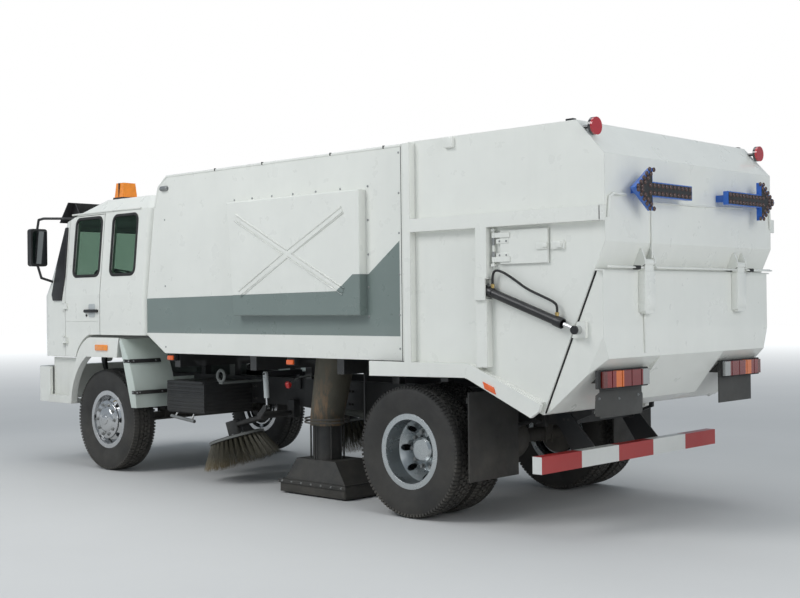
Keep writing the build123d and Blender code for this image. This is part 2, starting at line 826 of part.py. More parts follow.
with BuildPart() as fender_step:
    # Recessed step panel between the leg and the bumper
    add(block(leg_x + 10, fender_front_x, fender_inner_y - 14, fender_inner_y, bumper_low,
              cab_low_z - 12))
    add(block(leg_x + 10, fender_front_x, fender_inner_y - 250, fender_inner_y, bumper_low, bumper_low + 20))

with BuildPart() as fender_guard:
    # Curved guard behind the wheel, with an outer flange
    guard_top = (guard_top_x, fender_top - 10)
    guard_mid = (guard_rear_x + 95, 1050)
    guard_low = (guard_rear_x, guard_low_z)
    add(curved_band(
        (guard_top, guard_mid, guard_low),
        ((guard_top_x + 12, fender_top - 10), (guard_rear_x + 107, 1050), (guard_rear_x + 12, guard_low_z)),
        guard_inner_y, fender_outer_y))
    add(curved_band(
        (guard_top, guard_mid, guard_low),
        ((fender_rear_x - 12, fender_top - 30), (guard_rear_x + 175, 950), (guard_rear_x + 85, guard_low_z)),
        fender_outer_y - 30, fender_outer_y))

with BuildPart() as fender_stays:
    # Stays from the rail to the guard and to the band
    add(block(guard_rear_x + 60, guard_rear_x + 90, rail_outer_y, guard_inner_y + 10, 900, 930))
    add(fender_guard.part, mode=Mode.SUBTRACT)
    add(block(front_axle_x + 150, front_axle_x + 190, rail_outer_y, fender_inner_y, arch_top + 20,
              arch_top + 60))
    add(block(front_axle_x + 150, front_axle_x + 190, rail_outer_y, rail_outer_y + 12, 850, arch_top + 60))

fender_members = [fender_band.part, fender_step.part, fender_guard.part, *fender_stays.solids()]
right_fender_members = [mirrored(member) for member in fender_members]
save(Compound(children=fender_members), "front_fender_left")
save(Compound(children=right_fender_members), "front_fender_right")

with BuildPart() as headlamps:
    for side in (-1, 1):
        low, high = sorted((side * lamp_inner_y, side * lamp_outer_y))
        add(block(front_end_x - lamp_depth, front_end_x, low, high, lamp_low, lamp_top))
save(headlamps.part, "headlamps")

with BuildPart() as mudflaps:
    for side in (-1, 1):
        add(block(flap_x - 6, flap_x + 6, *sorted((side * (rear_twin_y - 290),
                                                   side * (rear_twin_y + 285))), 330, 980))
        add(block(flap_x - 6, flap_x + 34, *sorted((side * rail_outer_y, side * (rear_twin_y + 270))),
                  900, 940))
save(mudflaps.part, "mudflaps")


# Sweeper house

def house_outline():
    """Side outline of the house, with its leaning brow and the cut-off chin."""
    return [
        (house_rear_x, house_bottom), (house_rear_x, house_top), (house_top_front_x, house_top),
        (house_brow_x - 60, house_brow_z + 190), (house_brow_x, house_brow_z), (house_front_x, house_lean_z),
        (house_front_x, house_chin_z), (house_chin_x, house_bottom)]


house_inner_y = house_panel_y - house_panel_wall
with BuildPart() as house_shell:
    with BuildSketch(Plane.XZ.offset(-house_inner_y)):
        with BuildLine():
            Polyline(*house_outline(), close=True)
        make_face()
        offset(amount=-house_wall, mode=Mode.SUBTRACT)
    extrude(amount=2 * house_inner_y)
    for x in bearer_table:
        add(block(x - bearer_length / 2, x + bearer_length / 2, -1080, 1080, rail_top + 110,
                  house_bottom + 5))
        for side in (-1, 1):
            low, high = sorted((side * (rail_outer_y - rail_flange), side * rail_outer_y))
            add(block(x - bearer_length / 2, x + bearer_length / 2, low, high, rail_top, rail_top + 115))
save(house_shell.part, "house_shell")

with BuildPart() as house_panel:
    add(plate(house_outline(), house_inner_y, house_panel_y))
    with BuildSketch(Plane.XZ.offset(-house_panel_y)):
        with BuildLine():
            Polyline(
                (bulge_rear_x, bulge_low), (bulge_rear_x, bulge_top), (bulge_front_top_x, bulge_top),
                (bulge_front_low_x, bulge_low), close=True)
        make_face()
    extrude(amount=-bulge_depth)
    fillet(house_panel.faces().sort_by(Axis.Y)[-1].edges(), radius=10)
    bulge_face_y = house_panel_y + bulge_depth
    for start, end in (((bulge_rear_x + 180, bulge_low + 190), (bulge_front_top_x - 130, bulge_top - 140)),
                       ((bulge_rear_x + 180, bulge_top - 150), (bulge_front_low_x - 90, bulge_low + 190))):
        length = hypot(end[0] - start[0], end[1] - start[1])
        turn = degrees(atan2(end[1] - start[1], end[0] - start[0]))
        with BuildSketch(Plane.XZ.offset(-bulge_face_y)):
            with Locations(((start[0] + end[0]) / 2, (start[1] + end[1]) / 2)):
                SlotOverall(length, rib_width, rotation=turn)
        extrude(amount=-rib_height)
with BuildPart() as house_panels:
    add(house_panel.part)
    add(mirrored(house_panel.part))
save(house_panels.part, "house_panels")

tube_sections = [
    # x, height, outer radius, inner radius
    (tube_low_x, tube_low_z, neck_radius + tube_flare, neck_radius + tube_fit),
    (tube_low_x, tube_cuff_z, neck_radius + tube_flare, neck_radius + tube_fit),
    (tube_top_x, house_bottom, tube_radius, tube_radius - tube_wall),
]
with BuildPart() as suction_tube:
    for x, z, outer, inner in tube_sections:
        with BuildSketch(Plane.XY.offset(z)):
            with Locations((x, tube_y)):
                Circle(outer)
    loft(ruled=True)
    for x, z, outer, inner in tube_sections:
        with BuildSketch(Plane.XY.offset(z)):
            with Locations((x, tube_y)):
                Circle(inner)
    loft(ruled=True, mode=Mode.SUBTRACT)
with BuildPart() as suction_tubes:
    add(suction_tube.part)
    add(mirrored(suction_tube.part))
save(suction_tubes.part, "suction_tubes")

with BuildPart() as nozzle:
    with BuildSketch(Plane.XY.offset(nozzle_clearance)):
        with Locations((nozzle_x, nozzle_y)):
            Rectangle(nozzle_length, nozzle_width)
    with BuildSketch(Plane.XY.offset(nozzle_clearance + 90)):
        with Locations((nozzle_x, nozzle_y)):
            Rectangle(nozzle_length - 20, nozzle_width - 20)
    loft(ruled=True)
    with BuildSketch(Plane.XY.offset(nozzle_clearance + 90)):
        with Locations((nozzle_x, nozzle_y)):
            Rectangle(nozzle_length - 60, nozzle_width - 60)
    with BuildSketch(Plane.XY.offset(nozzle_shoulder_z)):
        with Locations((tube_low_x, nozzle_y)):
            Rectangle(nozzle_length - 320, nozzle_width - 180)
    loft(ruled=True)
    add(rod((tube_low_x, tube_y, nozzle_shoulder_z - 5), (tube_low_x, tube_y, tube_low_z + 60), neck_radius))
    # The mouth is open to the ground
    with BuildSketch(Plane.XY.offset(nozzle_clearance - 5)):
        with Locations((nozzle_x, nozzle_y)):
            Rectangle(nozzle_length - 100, nozzle_width - 100)
    with BuildSketch(Plane.XY.offset(nozzle_shoulder_z - 30)):
        with Locations((tube_low_x, nozzle_y)):
            Rectangle(nozzle_length - 420, nozzle_width - 260)
    loft(ruled=True, mode=Mode.SUBTRACT)
    add(rod((tube_low_x, tube_y, nozzle_clearance), (tube_low_x, tube_y, tube_low_z + 65), neck_radius - 12),
        mode=Mode.SUBTRACT)
    # Lifting arm back to the frame
    add(rod((tube_low_x + 200, nozzle_y - 150, nozzle_shoulder_z - 40),
            (tube_low_x + 320, rail_outer_y - 40, rail_bottom - 60), 18))
    add(block(tube_low_x + 290, tube_low_x + 350, rail_outer_y - 60, rail_outer_y - 15, rail_bottom - 90,
              rail_bottom))
with BuildPart() as suction_nozzles:
    add(nozzle.part)
    add(mirrored(nozzle.part))
save(suction_nozzles.part, "suction_nozzles")


# Hopper

seal_length = hypot(seal_top_x - seal_low_x, seal_top_z - seal_low_z)
seal_along = ((seal_low_x - seal_top_x) / seal_length, (seal_low_z - seal_top_z) / seal_length)
seal_out = (seal_along[1], -seal_along[0])


def on_seal(along, out):
    """A point of the tailgate's parting line: along it from the top, and out of the hopper."""
    return (seal_top_x + along * seal_along[0] + out * seal_out[0],
            seal_top_z + along * seal_along[1] + out * seal_out[1])


hopper_hull = plate([
    (hopper_front_x, hopper_floor), (hopper_front_x, hopper_roof), (hopper_peak_x, hopper_roof),
    (hopper_rear_x, hopper_chamfer_z), (hopper_rear_x, hopper_taper_z), (seal_top_x, seal_top_z),
    (seal_low_x, seal_low_z), (hopper_knee_x, hopper_floor)], -hopper_half_width, hopper_half_width)
with BuildPart() as hopper_shell:
    add(hopper_hull)
    add(plate([
        (hopper_front_x - hopper_wall, hopper_floor + hopper_wall),
        (hopper_front_x - hopper_wall, hopper_roof - hopper_wall),
        (hopper_peak_x + 18, hopper_roof - hopper_wall),
        (hopper_rear_x + hopper_wall, hopper_chamfer_z - 16),
        (hopper_rear_x + hopper_wall, hopper_taper_z + 8),
        (seal_top_x + 36, seal_top_z + 17),
        on_seal(hopper_wall + 5, 0), on_seal(hopper_wall + 5, 60),
        on_seal(seal_length - hopper_wall - 12, 60), on_seal(seal_length - hopper_wall - 12, 0),
        (hopper_knee_x - 8, hopper_floor + hopper_wall)],
        -hopper_half_width + hopper_wall, hopper_half_width - hopper_wall), mode=Mode.SUBTRACT)
    # Opening behind the small side door
    add(block(door_hatch_rear_x + 40, door_hatch_front_x - 40, hopper_half_width - hopper_wall - 5,
              hopper_half_width + 5, door_hatch_low + 40, door_hatch_top - 40), mode=Mode.SUBTRACT)
save(hopper_shell.part, "hopper_shell")

skirt_outline = [
    (skirt_front_x, skirt_top), (skirt_front_x, skirt_top - skirt_drop),
    (skirt_knee_x + 40, skirt_top - skirt_drop + 15),
    (skirt_rear_x + 115, skirt_rear_top - 97), (skirt_rear_x + 47, skirt_rear_top - 50),
    (skirt_rear_x + 25, skirt_rear_top), (skirt_knee_x, skirt_top)]
with BuildPart() as hopper_frame:
    with BuildPart(mode=Mode.PRIVATE) as side_frame:
        wall_y = hopper_half_width
        add(block(hopper_front_x - post_width, hopper_front_x, wall_y, body_half_width, skirt_top - 5,
                  rail_band_top + 575))
        add(block(second_post_front_x - second_post_width, second_post_front_x, wall_y, body_half_width,
                  skirt_top - 20, rail_band_low + 5))
        add(block(hopper_rear_x, hopper_front_x - post_width + 5, wall_y, body_half_width, rail_band_low,
                  rail_band_top))
        add(plate(skirt_outline, body_half_width - skirt_thickness, body_half_width))
        add(plate([
            (hopper_front_x, skirt_top), (hopper_front_x, hopper_floor + 5),
            (hopper_knee_x, hopper_floor + 5),
            on_seal(seal_length - 20, -40), on_seal(seal_length - 90, -20), (skirt_knee_x, skirt_top)],
            wall_y, body_half_width - skirt_thickness + 5))
        # Slot in the second post for the gate cylinder
        add(block(second_post_front_x - second_post_width - 5, second_post_front_x + 5, wall_y + 0.5,
                  body_half_width + 5, gate_anchor_z - 75, gate_anchor_z + 75), mode=Mode.SUBTRACT)
        add(block(gate_anchor_x - 50, gate_anchor_x + 50, body_half_width + 13, body_half_width + 23,
                  gate_anchor_z - 80, gate_anchor_z + 80))
        for low, top in ((gate_anchor_z - 80, gate_anchor_z - 70), (gate_anchor_z + 70, gate_anchor_z + 80)):
            add(block(gate_anchor_x - 50, gate_anchor_x + 50, wall_y, body_half_width + 23, low, top))
        add(rod((gate_anchor_x, wall_y, gate_anchor_z), (gate_anchor_x, body_half_width + 23, gate_anchor_z),
                gate_pin_radius))
        # Long member and pivot lug under the floor
        add(block(hopper_knee_x - 160, hopper_front_x - 20, hopper_beam_y, hopper_beam_y + hopper_beam_width,
                  rail_top + 5, hopper_floor))
        add(plate([
            (hopper_tip_x + 300, hopper_floor - 160), (hopper_tip_x + 300, hopper_floor - 60),
            (hopper_tip_x - 60, hopper_tip_z + 60), (hopper_tip_x - 50, hopper_tip_z - 30),
            (hopper_tip_x, hopper_tip_z - 50), (hopper_tip_x + 50, hopper_tip_z - 30)],
            hopper_lug_inner_y, hopper_lug_outer_y))
        add(rod((hopper_tip_x, hopper_lug_inner_y - 5, hopper_tip_z),
                (hopper_tip_x, hopper_lug_outer_y + 5, hopper_tip_z),
                tip_pin_radius + running_gap), mode=Mode.SUBTRACT)
    add(side_frame.part)
    add(mirrored(side_frame.part))
    # Ram head bracket
    for low, high in ((ram_eye_half + 0.5, ram_eye_half + 16.5), (-ram_eye_half - 16.5, -ram_eye_half - 0.5)):
        add(block(ram_head_x - 55, ram_head_x + 55, low, high, ram_head_z - 45, hopper_floor))
    for x in (hopper_front_x - 60, hopper_knee_x + 150):
        add(block(x - 30, x + 30, -hopper_beam_y - 5, hopper_beam_y + 5, hopper_floor - 50, hopper_floor))
    # Ears of the tailgate hinges, with their pins
    for side in (-1, 1):
        for reach in (-hinge_arm_width / 2 - 0.5 - hinge_ear, hinge_arm_width / 2 + 0.5):
            ear_y = side * gate_hinge_y + reach
            add(plate([
                (seal_top_x + 15, gate_hinge_z - 26), (gate_hinge_x, gate_hinge_z - 28),
                (gate_hinge_x - 28, gate_hinge_z - 12), (gate_hinge_x - 28, gate_hinge_z + 18),
                (gate_hinge_x, gate_hinge_z + 95), (seal_top_x + 15, gate_hinge_z + 95)], ear_y,
                ear_y + hinge_ear))
        pin_half = hinge_arm_width / 2 + hinge_ear
        add(rod((gate_hinge_x, side * gate_hinge_y - pin_half, gate_hinge_z),
                (gate_hinge_x, side * gate_hinge_y + pin_half, gate_hinge_z), hinge_pin_radius))
    # Hinge rod of the small side door, in its two brackets
    add(rod((door_hatch_pin_x, door_hatch_pin_y, door_hatch_low - 5),
            (door_hatch_pin_x, door_hatch_pin_y, door_hatch_top + 5), door_hatch_pin_radius))
    for low in (door_hatch_low - 15, door_hatch_top - 5):
        add(block(door_hatch_pin_x - 14, door_hatch_pin_x + 14, hopper_half_width, door_hatch_pin_y + 14,
                  low, low + 20))
    add(hopper_hull, mode=Mode.SUBTRACT)
save(hopper_frame.part, "hopper_frame")

with BuildPart() as access_door:
    hatch_face_y = hopper_half_width + door_hatch_gap
    add(block(door_hatch_rear_x, door_hatch_front_x, hatch_face_y, hatch_face_y + door_hatch_wall,
              door_hatch_low, door_hatch_top))
    strap_y = hatch_face_y + door_hatch_wall
    for z in (door_hatch_low + 34, door_hatch_top - 34):
        add(block(door_hatch_front_x - 90, door_hatch_pin_x, strap_y, strap_y + 8,
                  z - door_hatch_strap / 2, z + door_hatch_strap / 2))
        add(rod((door_hatch_pin_x, door_hatch_pin_y, z - door_hatch_strap / 2),
                (door_hatch_pin_x, door_hatch_pin_y, z + door_hatch_strap / 2), door_hatch_pin_radius + 6))
    add(rod((door_hatch_pin_x, door_hatch_pin_y, door_hatch_low), (door_hatch_pin_x, door_hatch_pin_y,
                                                                   door_hatch_top),
            door_hatch_pin_radius + running_gap), mode=Mode.SUBTRACT)
save(access_door.part, "access_door")


# Boards and lamps of the hopper

def board(points, x_low, x_high):
    """A flat board whose outline lies in the YZ plane, between two X values."""
    with BuildPart() as piece:
        with BuildSketch(Plane.YZ.offset(x_low)):
            with BuildLine():
                Polyline(*points, close=True)
            make_face()
        extrude(amount=x_high - x_low)
    return piece.part


with BuildPart() as arrow_board:
    add(board([
        (arrow_tail_y, arrow_mid_z - arrow_shaft_half), (arrow_neck_y, arrow_mid_z - arrow_shaft_half),
        (arrow_neck_y, arrow_mid_z - arrow_head_half), (arrow_tip_y, arrow_mid_z),
        (arrow_neck_y, arrow_mid_z + arrow_head_half), (arrow_neck_y, arrow_mid_z + arrow_shaft_half),
        (arrow_tail_y, arrow_mid_z + arrow_shaft_half)], arrow_face_x, arrow_face_x + arrow_depth))
    for y in (arrow_tail_y + 60, arrow_neck_y + 60):
        add(block(arrow_face_x + arrow_depth, hopper_rear_x, y - 20, y + 20, arrow_mid_z - 25,
                  arrow_mid_z + 25))
with BuildPart() as arrow_boards:
    add(arrow_board.part)
    add(mirrored(arrow_board.part))
save(arrow_boards.part, "arrow_boards")

with BuildPart() as roof_lamp:
    add(rod((roof_lamp_x - 18, roof_lamp_y, roof_lamp_z), (roof_lamp_x + 18, roof_lamp_y, roof_lamp_z),
            roof_lamp_radius))
    add(rod((roof_lamp_x, roof_lamp_y, roof_lamp_z), (hopper_peak_x + 60, roof_lamp_y, roof_lamp_z), 12))
    add(block(hopper_peak_x + 30, hopper_peak_x + 90, roof_lamp_y - 20, roof_lamp_y + 20,
              roof_lamp_z - 14, hopper_roof + 14))
    add(hopper_hull, mode=Mode.SUBTRACT)
with BuildPart() as roof_lamps:
    add(roof_lamp.part)
    add(mirrored(roof_lamp.part))
save(roof_lamps.part, "roof_lamps")


# Tailgate

with BuildPart() as gate_hull:
    add(plate([
        on_seal(6, gate_gap), (gate_rear_x, gate_top), (gate_rear_x, gate_fold_z), (gate_lip_x, gate_lip_z),
        on_seal(seal_length - 8, gate_gap)], -gate_half_width, gate_half_width))
    # The lower rear corners are cut off at a slant
    for side in (-1, 1):
        facet = Plane(origin=(gate_rear_x, side * (gate_half_width - 62), gate_fold_z),
                      z_dir=(-0.5974, side * 0.7452, -0.2962))
        split(bisect_by=facet, keep=Keep.BOTTOM)
with BuildPart() as gate_shell:
    add(gate_hull.part)
    inner_y = gate_half_width - gate_wall
    add(plate([
        on_seal(gate_wall + 15, -5), (gate_rear_x + gate_wall, gate_top - gate_wall),
        (gate_rear_x + gate_wall, gate_fold_z + 19), on_seal(1002, gate_gap), on_seal(1002, -5)],
        -inner_y, inner_y), mode=Mode.SUBTRACT)
    # Chute in the middle, deeper than the fold on both sides of it
    add(plate([
        (gate_rear_x, gate_fold_z), (chute_low_x, chute_low_z), (gate_lip_x, gate_lip_z),
        (gate_lip_x + 2, gate_lip_z + 8), (gate_rear_x + 6, gate_fold_z + 8)], -chute_half_width,
        chute_half_width))
    add(block(gate_rear_x, gate_rear_x + 40, -gate_flange_half, gate_flange_half, gate_top - 4, gate_top + 6))
    for side in (-1, 1):
        # Hinge arm with its knuckle
        low, high = sorted((side * gate_hinge_y - hinge_arm_width / 2,
                            side * gate_hinge_y + hinge_arm_width / 2))
        add(block(gate_rear_x - hinge_arm_depth, gate_rear_x, low, high, hinge_arm_low, gate_hinge_z))
        add(rod((gate_hinge_x, low, gate_hinge_z), (gate_hinge_x, high, gate_hinge_z), hinge_knuckle_radius))
        add(rod((gate_hinge_x, low, gate_hinge_z), (gate_hinge_x, high, gate_hinge_z),
                hinge_pin_radius + running_gap),
            mode=Mode.SUBTRACT)
        # Plate beside the eye of the cylinder's rod
        low, high = sorted((side * gate_half_width, side * (gate_cyl_y - gate_eye_half - 0.5)))
        add(plate([
            (gate_eye_x - 55, gate_eye_z - 55), (gate_eye_x - 55, gate_eye_z + 55),
            (gate_eye_x + 12, gate_eye_z + 55), (gate_eye_x + 56, gate_eye_z - 55)], low, high))
save(gate_shell.part, "gate_shell")

with BuildPart() as tail_lamp:
    for inner, outer in tail_lamp_table:
        add(block(tail_lamp_x - 26, tail_lamp_x, inner, outer, tail_lamp_low + 8, tail_lamp_top - 8))
    add(block(tail_lamp_x, tail_lamp_x + 34, tail_lamp_inner_y, tail_lamp_outer_y, tail_lamp_low,
              tail_lamp_top))
with BuildPart() as tail_lamps:
    add(tail_lamp.part)
    add(mirrored(tail_lamp.part))
save(tail_lamps.part, "tail_lamps")

with BuildPart() as lamp_bracket:
    add(block(tail_lamp_x + 34, tail_lamp_x + 44, tail_lamp_inner_y + 20, tail_lamp_outer_y - 60,
              lamp_plate_low, tail_lamp_top))
    for y in (tail_lamp_inner_y + 60, tail_lamp_outer_y - 120):
        add(block(tail_lamp_x + 44, tail_lamp_x + 260, y - 5, y + 5, tail_lamp_low + 30, tail_lamp_top - 5))
    add(gate_hull.part, mode=Mode.SUBTRACT)
with BuildPart() as lamp_brackets:
    add(lamp_bracket.part)
    add(mirrored(lamp_bracket.part))
save(lamp_brackets.part, "lamp_brackets")


# Cylinders: each is a barrel turning on one pin and a rod that slides in it

def barrel(start, end, y, length, radius, rod_radius, eye_radius, eye_half, pin):
    """Barrel of a cylinder from its own eye towards the rod's eye, in a plane of constant Y."""
    reach = hypot(end[0] - start[0], end[1] - start[1])
    along = ((end[0] - start[0]) / reach, (end[1] - start[1]) / reach)

    def place(distance):
        return (start[0] + distance * along[0], y, start[1] + distance * along[1])

    bore = radius - (radius - rod_radius) * 0.45
    with BuildPart() as piece:
        add(rod(place(0), place(length), radius))
        add(rod((start[0], y - eye_half, start[1]), (start[0], y + eye_half, start[1]), eye_radius))
        add(rod(place(eye_radius + 8), place(length - radius), bore), mode=Mode.SUBTRACT)
        add(rod(place(eye_radius + 8), place(length + 5), rod_radius + running_gap), mode=Mode.SUBTRACT)
        for side in (-1, 1):
            low, high = sorted((y + side * eye_half, y + side * (radius + 5)))
            clear = radius + 8
            add(block(start[0] - clear, start[0] + clear, low, high, start[1] - clear, start[1] + clear),
                mode=Mode.SUBTRACT)
        add(rod((start[0], y - radius - 5, start[1]), (start[0], y + radius + 5, start[1]),
                pin + running_gap),
            mode=Mode.SUBTRACT)
    return piece.part


def piston_rod(start, end, y, root, radius, rod_radius, eye_radius, eye_half):
    """Rod with its piston, from a place inside the barrel to the eye at the far end."""
    reach = hypot(end[0] - start[0], end[1] - start[1])
    along = ((end[0] - start[0]) / reach, (end[1] - start[1]) / reach)

    def place(distance):
        return (start[0] + distance * along[0], y, start[1] + distance * along[1])

    bore = radius - (radius - rod_radius) * 0.45
    with BuildPart() as piece:
        add(rod(place(root), place(reach), rod_radius))
        add(rod(place(root), place(root + radius), bore - running_gap))
        add(rod((end[0], y - eye_half, end[1]), (end[0], y + eye_half, end[1]), eye_radius))
    return piece.part


gate_anchor = (gate_anchor_x, gate_anchor_z)
gate_eye = (gate_eye_x, gate_eye_z)
save_pair(barrel(gate_anchor, gate_eye, gate_cyl_y, gate_barrel_length, gate_cyl_radius, gate_rod_radius,
                 gate_eye_radius, gate_eye_half, gate_pin_radius), "gate_barrel")
save_pair(piston_rod(gate_anchor, gate_eye, gate_cyl_y, 60, gate_cyl_radius, gate_rod_radius,
                     gate_eye_radius, gate_eye_half), "gate_rod")

ram_foot = (ram_foot_x, ram_foot_z)
ram_head = (ram_head_x, ram_head_z)
save(barrel(ram_foot, ram_head, 0, ram_barrel_length, ram_radius, ram_rod_radius, ram_eye_radius + 5,
            ram_eye_half, ram_pin_radius), "tip_barrel")
save(piston_rod(ram_foot, ram_head, 0, ram_rod_root, ram_radius, ram_rod_radius, ram_eye_radius,
                ram_eye_half), "tip_rod")

brush_top = (brush_cyl_top_x, brush_cyl_top_z)
brush_eye = (brush_cyl_eye_x, brush_cyl_eye_z)
save_pair(barrel(brush_top, brush_eye, brush_cyl_y, brush_barrel_length, brush_cyl_radius,
                 brush_cyl_rod_radius,
                 brush_eye_radius, brush_eye_half, brush_cyl_pin), "brush_barrel")
save_pair(piston_rod(brush_top, brush_eye, brush_cyl_y, brush_rod_root, brush_cyl_radius,
                     brush_cyl_rod_radius,
                     brush_eye_radius, brush_eye_half), "brush_rod")


# Brushes

lean = (tan(radians(brush_tilt_forward)), tan(radians(brush_tilt_out)), 1)
brush_axis = Vector(*lean).normalized()
brush_plane = Plane(origin=brush_centre, z_dir=brush_axis)

with BuildPart() as brush:
    with BuildSketch(Plane.XZ):
        with BuildLine():
            Polyline(
                (0, brush_motor_height - 60), (brush_spindle, brush_motor_height - 60), (brush_spindle, 0),
                (brush_plate_radius, 0), (brush_plate_radius, -14), (brush_tip_radius, -brush_height),
                (brush_tip_radius - 120, -brush_height), (brush_plate_radius - 90, -14), (0, -14), close=True)
        make_face()
    revolve(axis=Axis.Z)
save_pair(brush_plane.location * brush.part, "brush")

motor_low = brush_plane.from_local_coords(Vector(0, 0, brush_plate_gap))
motor_top = brush_plane.from_local_coords(Vector(0, 0, brush_motor_height))
spindle_end = brush_plane.from_local_coords(Vector(0, 0, brush_motor_height - 58))
arm_end = brush_plane.from_local_coords(Vector(0, 0, brush_motor_height - 45))
with BuildPart() as brush_arm:
    add(rod((brush_arm_x, brush_arm_y, brush_arm_z), (brush_arm_x, brush_cyl_y + 25, brush_arm_z),
            brush_arm_radius))
    add(rod((brush_arm_x, brush_centre[1], brush_arm_z), tuple(arm_end), brush_arm_radius - 6))
    add(rod(tuple(motor_low), tuple(motor_top), brush_motor_radius))
    add(rod(tuple(motor_low), tuple(spindle_end), brush_spindle + running_gap), mode=Mode.SUBTRACT)
    lever_y = brush_cyl_y + brush_eye_half + 0.4
    add(plate([
        (brush_arm_x - 20, brush_arm_z - 20), (brush_arm_x + 25, brush_arm_z + 10),
        (brush_cyl_eye_x + 16, brush_cyl_eye_z + 18), (brush_cyl_eye_x - 20, brush_cyl_eye_z + 14),
        (brush_cyl_eye_x - 16, brush_cyl_eye_z - 18)], lever_y, lever_y + 14))
    add(rod((brush_arm_x, brush_arm_y - 5, brush_arm_z), (brush_arm_x, brush_cyl_y + 45, brush_arm_z),
            brush_pin_radius + running_gap), mode=Mode.SUBTRACT)
save_pair(brush_arm.part, "brush_arm")


# Cab

def cab_body(inset, low_z):
    """The cab's outer form drawn in by an inset, from a given height up to the roof.
    It is lofted straight between rounded plan sections."""
    with BuildPart() as body:
        for z, rear_x, front_x, half_width, front_radius, drop in cab_sections:
            level = max(z - drop * inset / cab_wall, low_z)
            with BuildSketch(Plane.XY.offset(level)):
                with BuildLine():
                    rear = rear_x + inset
                    front = front_x - inset
                    side = half_width - inset
                    round_front = front_radius - inset
                    round_rear = cab_rear_radius - inset
                    Polyline(
                        (rear + round_rear, side), (front - round_front, side))
                    RadiusArc((front - round_front, side), (front, side - round_front), round_front)
                    Line((front, side - round_front), (front, -side + round_front))
                    RadiusArc((front, -side + round_front), (front - round_front, -side), round_front)
                    Line((front - round_front, -side), (rear + round_rear, -side))
                    RadiusArc((rear + round_rear, -side), (rear, -side + round_rear), round_rear)
                    Line((rear, -side + round_rear), (rear, side - round_rear))
                    RadiusArc((rear, side - round_rear), (rear + round_rear, side), round_rear)
                make_face()
        loft(ruled=True)
    return body.part


def door_prism(grow, rear_grow):
    """Side outline of the left cab door, grown by a gap, down from its header."""
    return plate([
        (door_rear_x - rear_grow, cab_floor_low), (door_rear_x - rear_grow, door_top_z + grow),
        (door_front_x + grow, door_top_z + grow), (door_front_x + grow, cab_floor_low)],
        door_header_y - grow, cab_half_width + 50)


def hinge_point(z):
    """A point of the left door's hinge line, which leans inwards as the cab's side does."""
    return (door_hinge_x, door_hinge_low_y - door_hinge_lean * (z - cab_low_z), z)


def pane(outline_part, depth):
    """Glass in a window opening, set back from the outer face."""
    with BuildPart() as piece:
        add(cab_body(depth, cab_floor_low))
        add(cab_body(depth + glass_thickness, cab_floor_low), mode=Mode.SUBTRACT)
        add(outline_part, mode=Mode.INTERSECT)
    return piece.part


with BuildPart() as cab_under:
    with BuildSketch(Plane.XZ.offset(-cab_half_width - 50)):
        with BuildLine():
            sill = Polyline(
                (cab_arch_end_x, cab_low_z), (cab_arch_end_x, cab_floor_low),
                (cab_rear_x - 50, cab_floor_low),
                (cab_rear_x - 50, cab_sill_z), (cab_arch_x, cab_sill_z))
            ThreePointArc(sill @ 1, (cab_arch_mid_x, cab_arch_mid_z), sill @ 0)
        make_face()
    extrude(amount=2 * cab_half_width + 100)


def side_window(shrink, rear_x, front_x):
    """Prism of a side window, drawn in by a small gap."""
    return block(rear_x + shrink, front_x - shrink, -cab_half_width - 50, cab_half_width + 50,
                 window_low_z + shrink, window_top_z - shrink)


def screen_window(shrink):
    """Prism of the windscreen opening."""
    return block(cab_screen_top_x - 200, cab_front_x, -screen_half_width + shrink, screen_half_width - shrink,
                 window_low_z + shrink, screen_top_z - shrink)


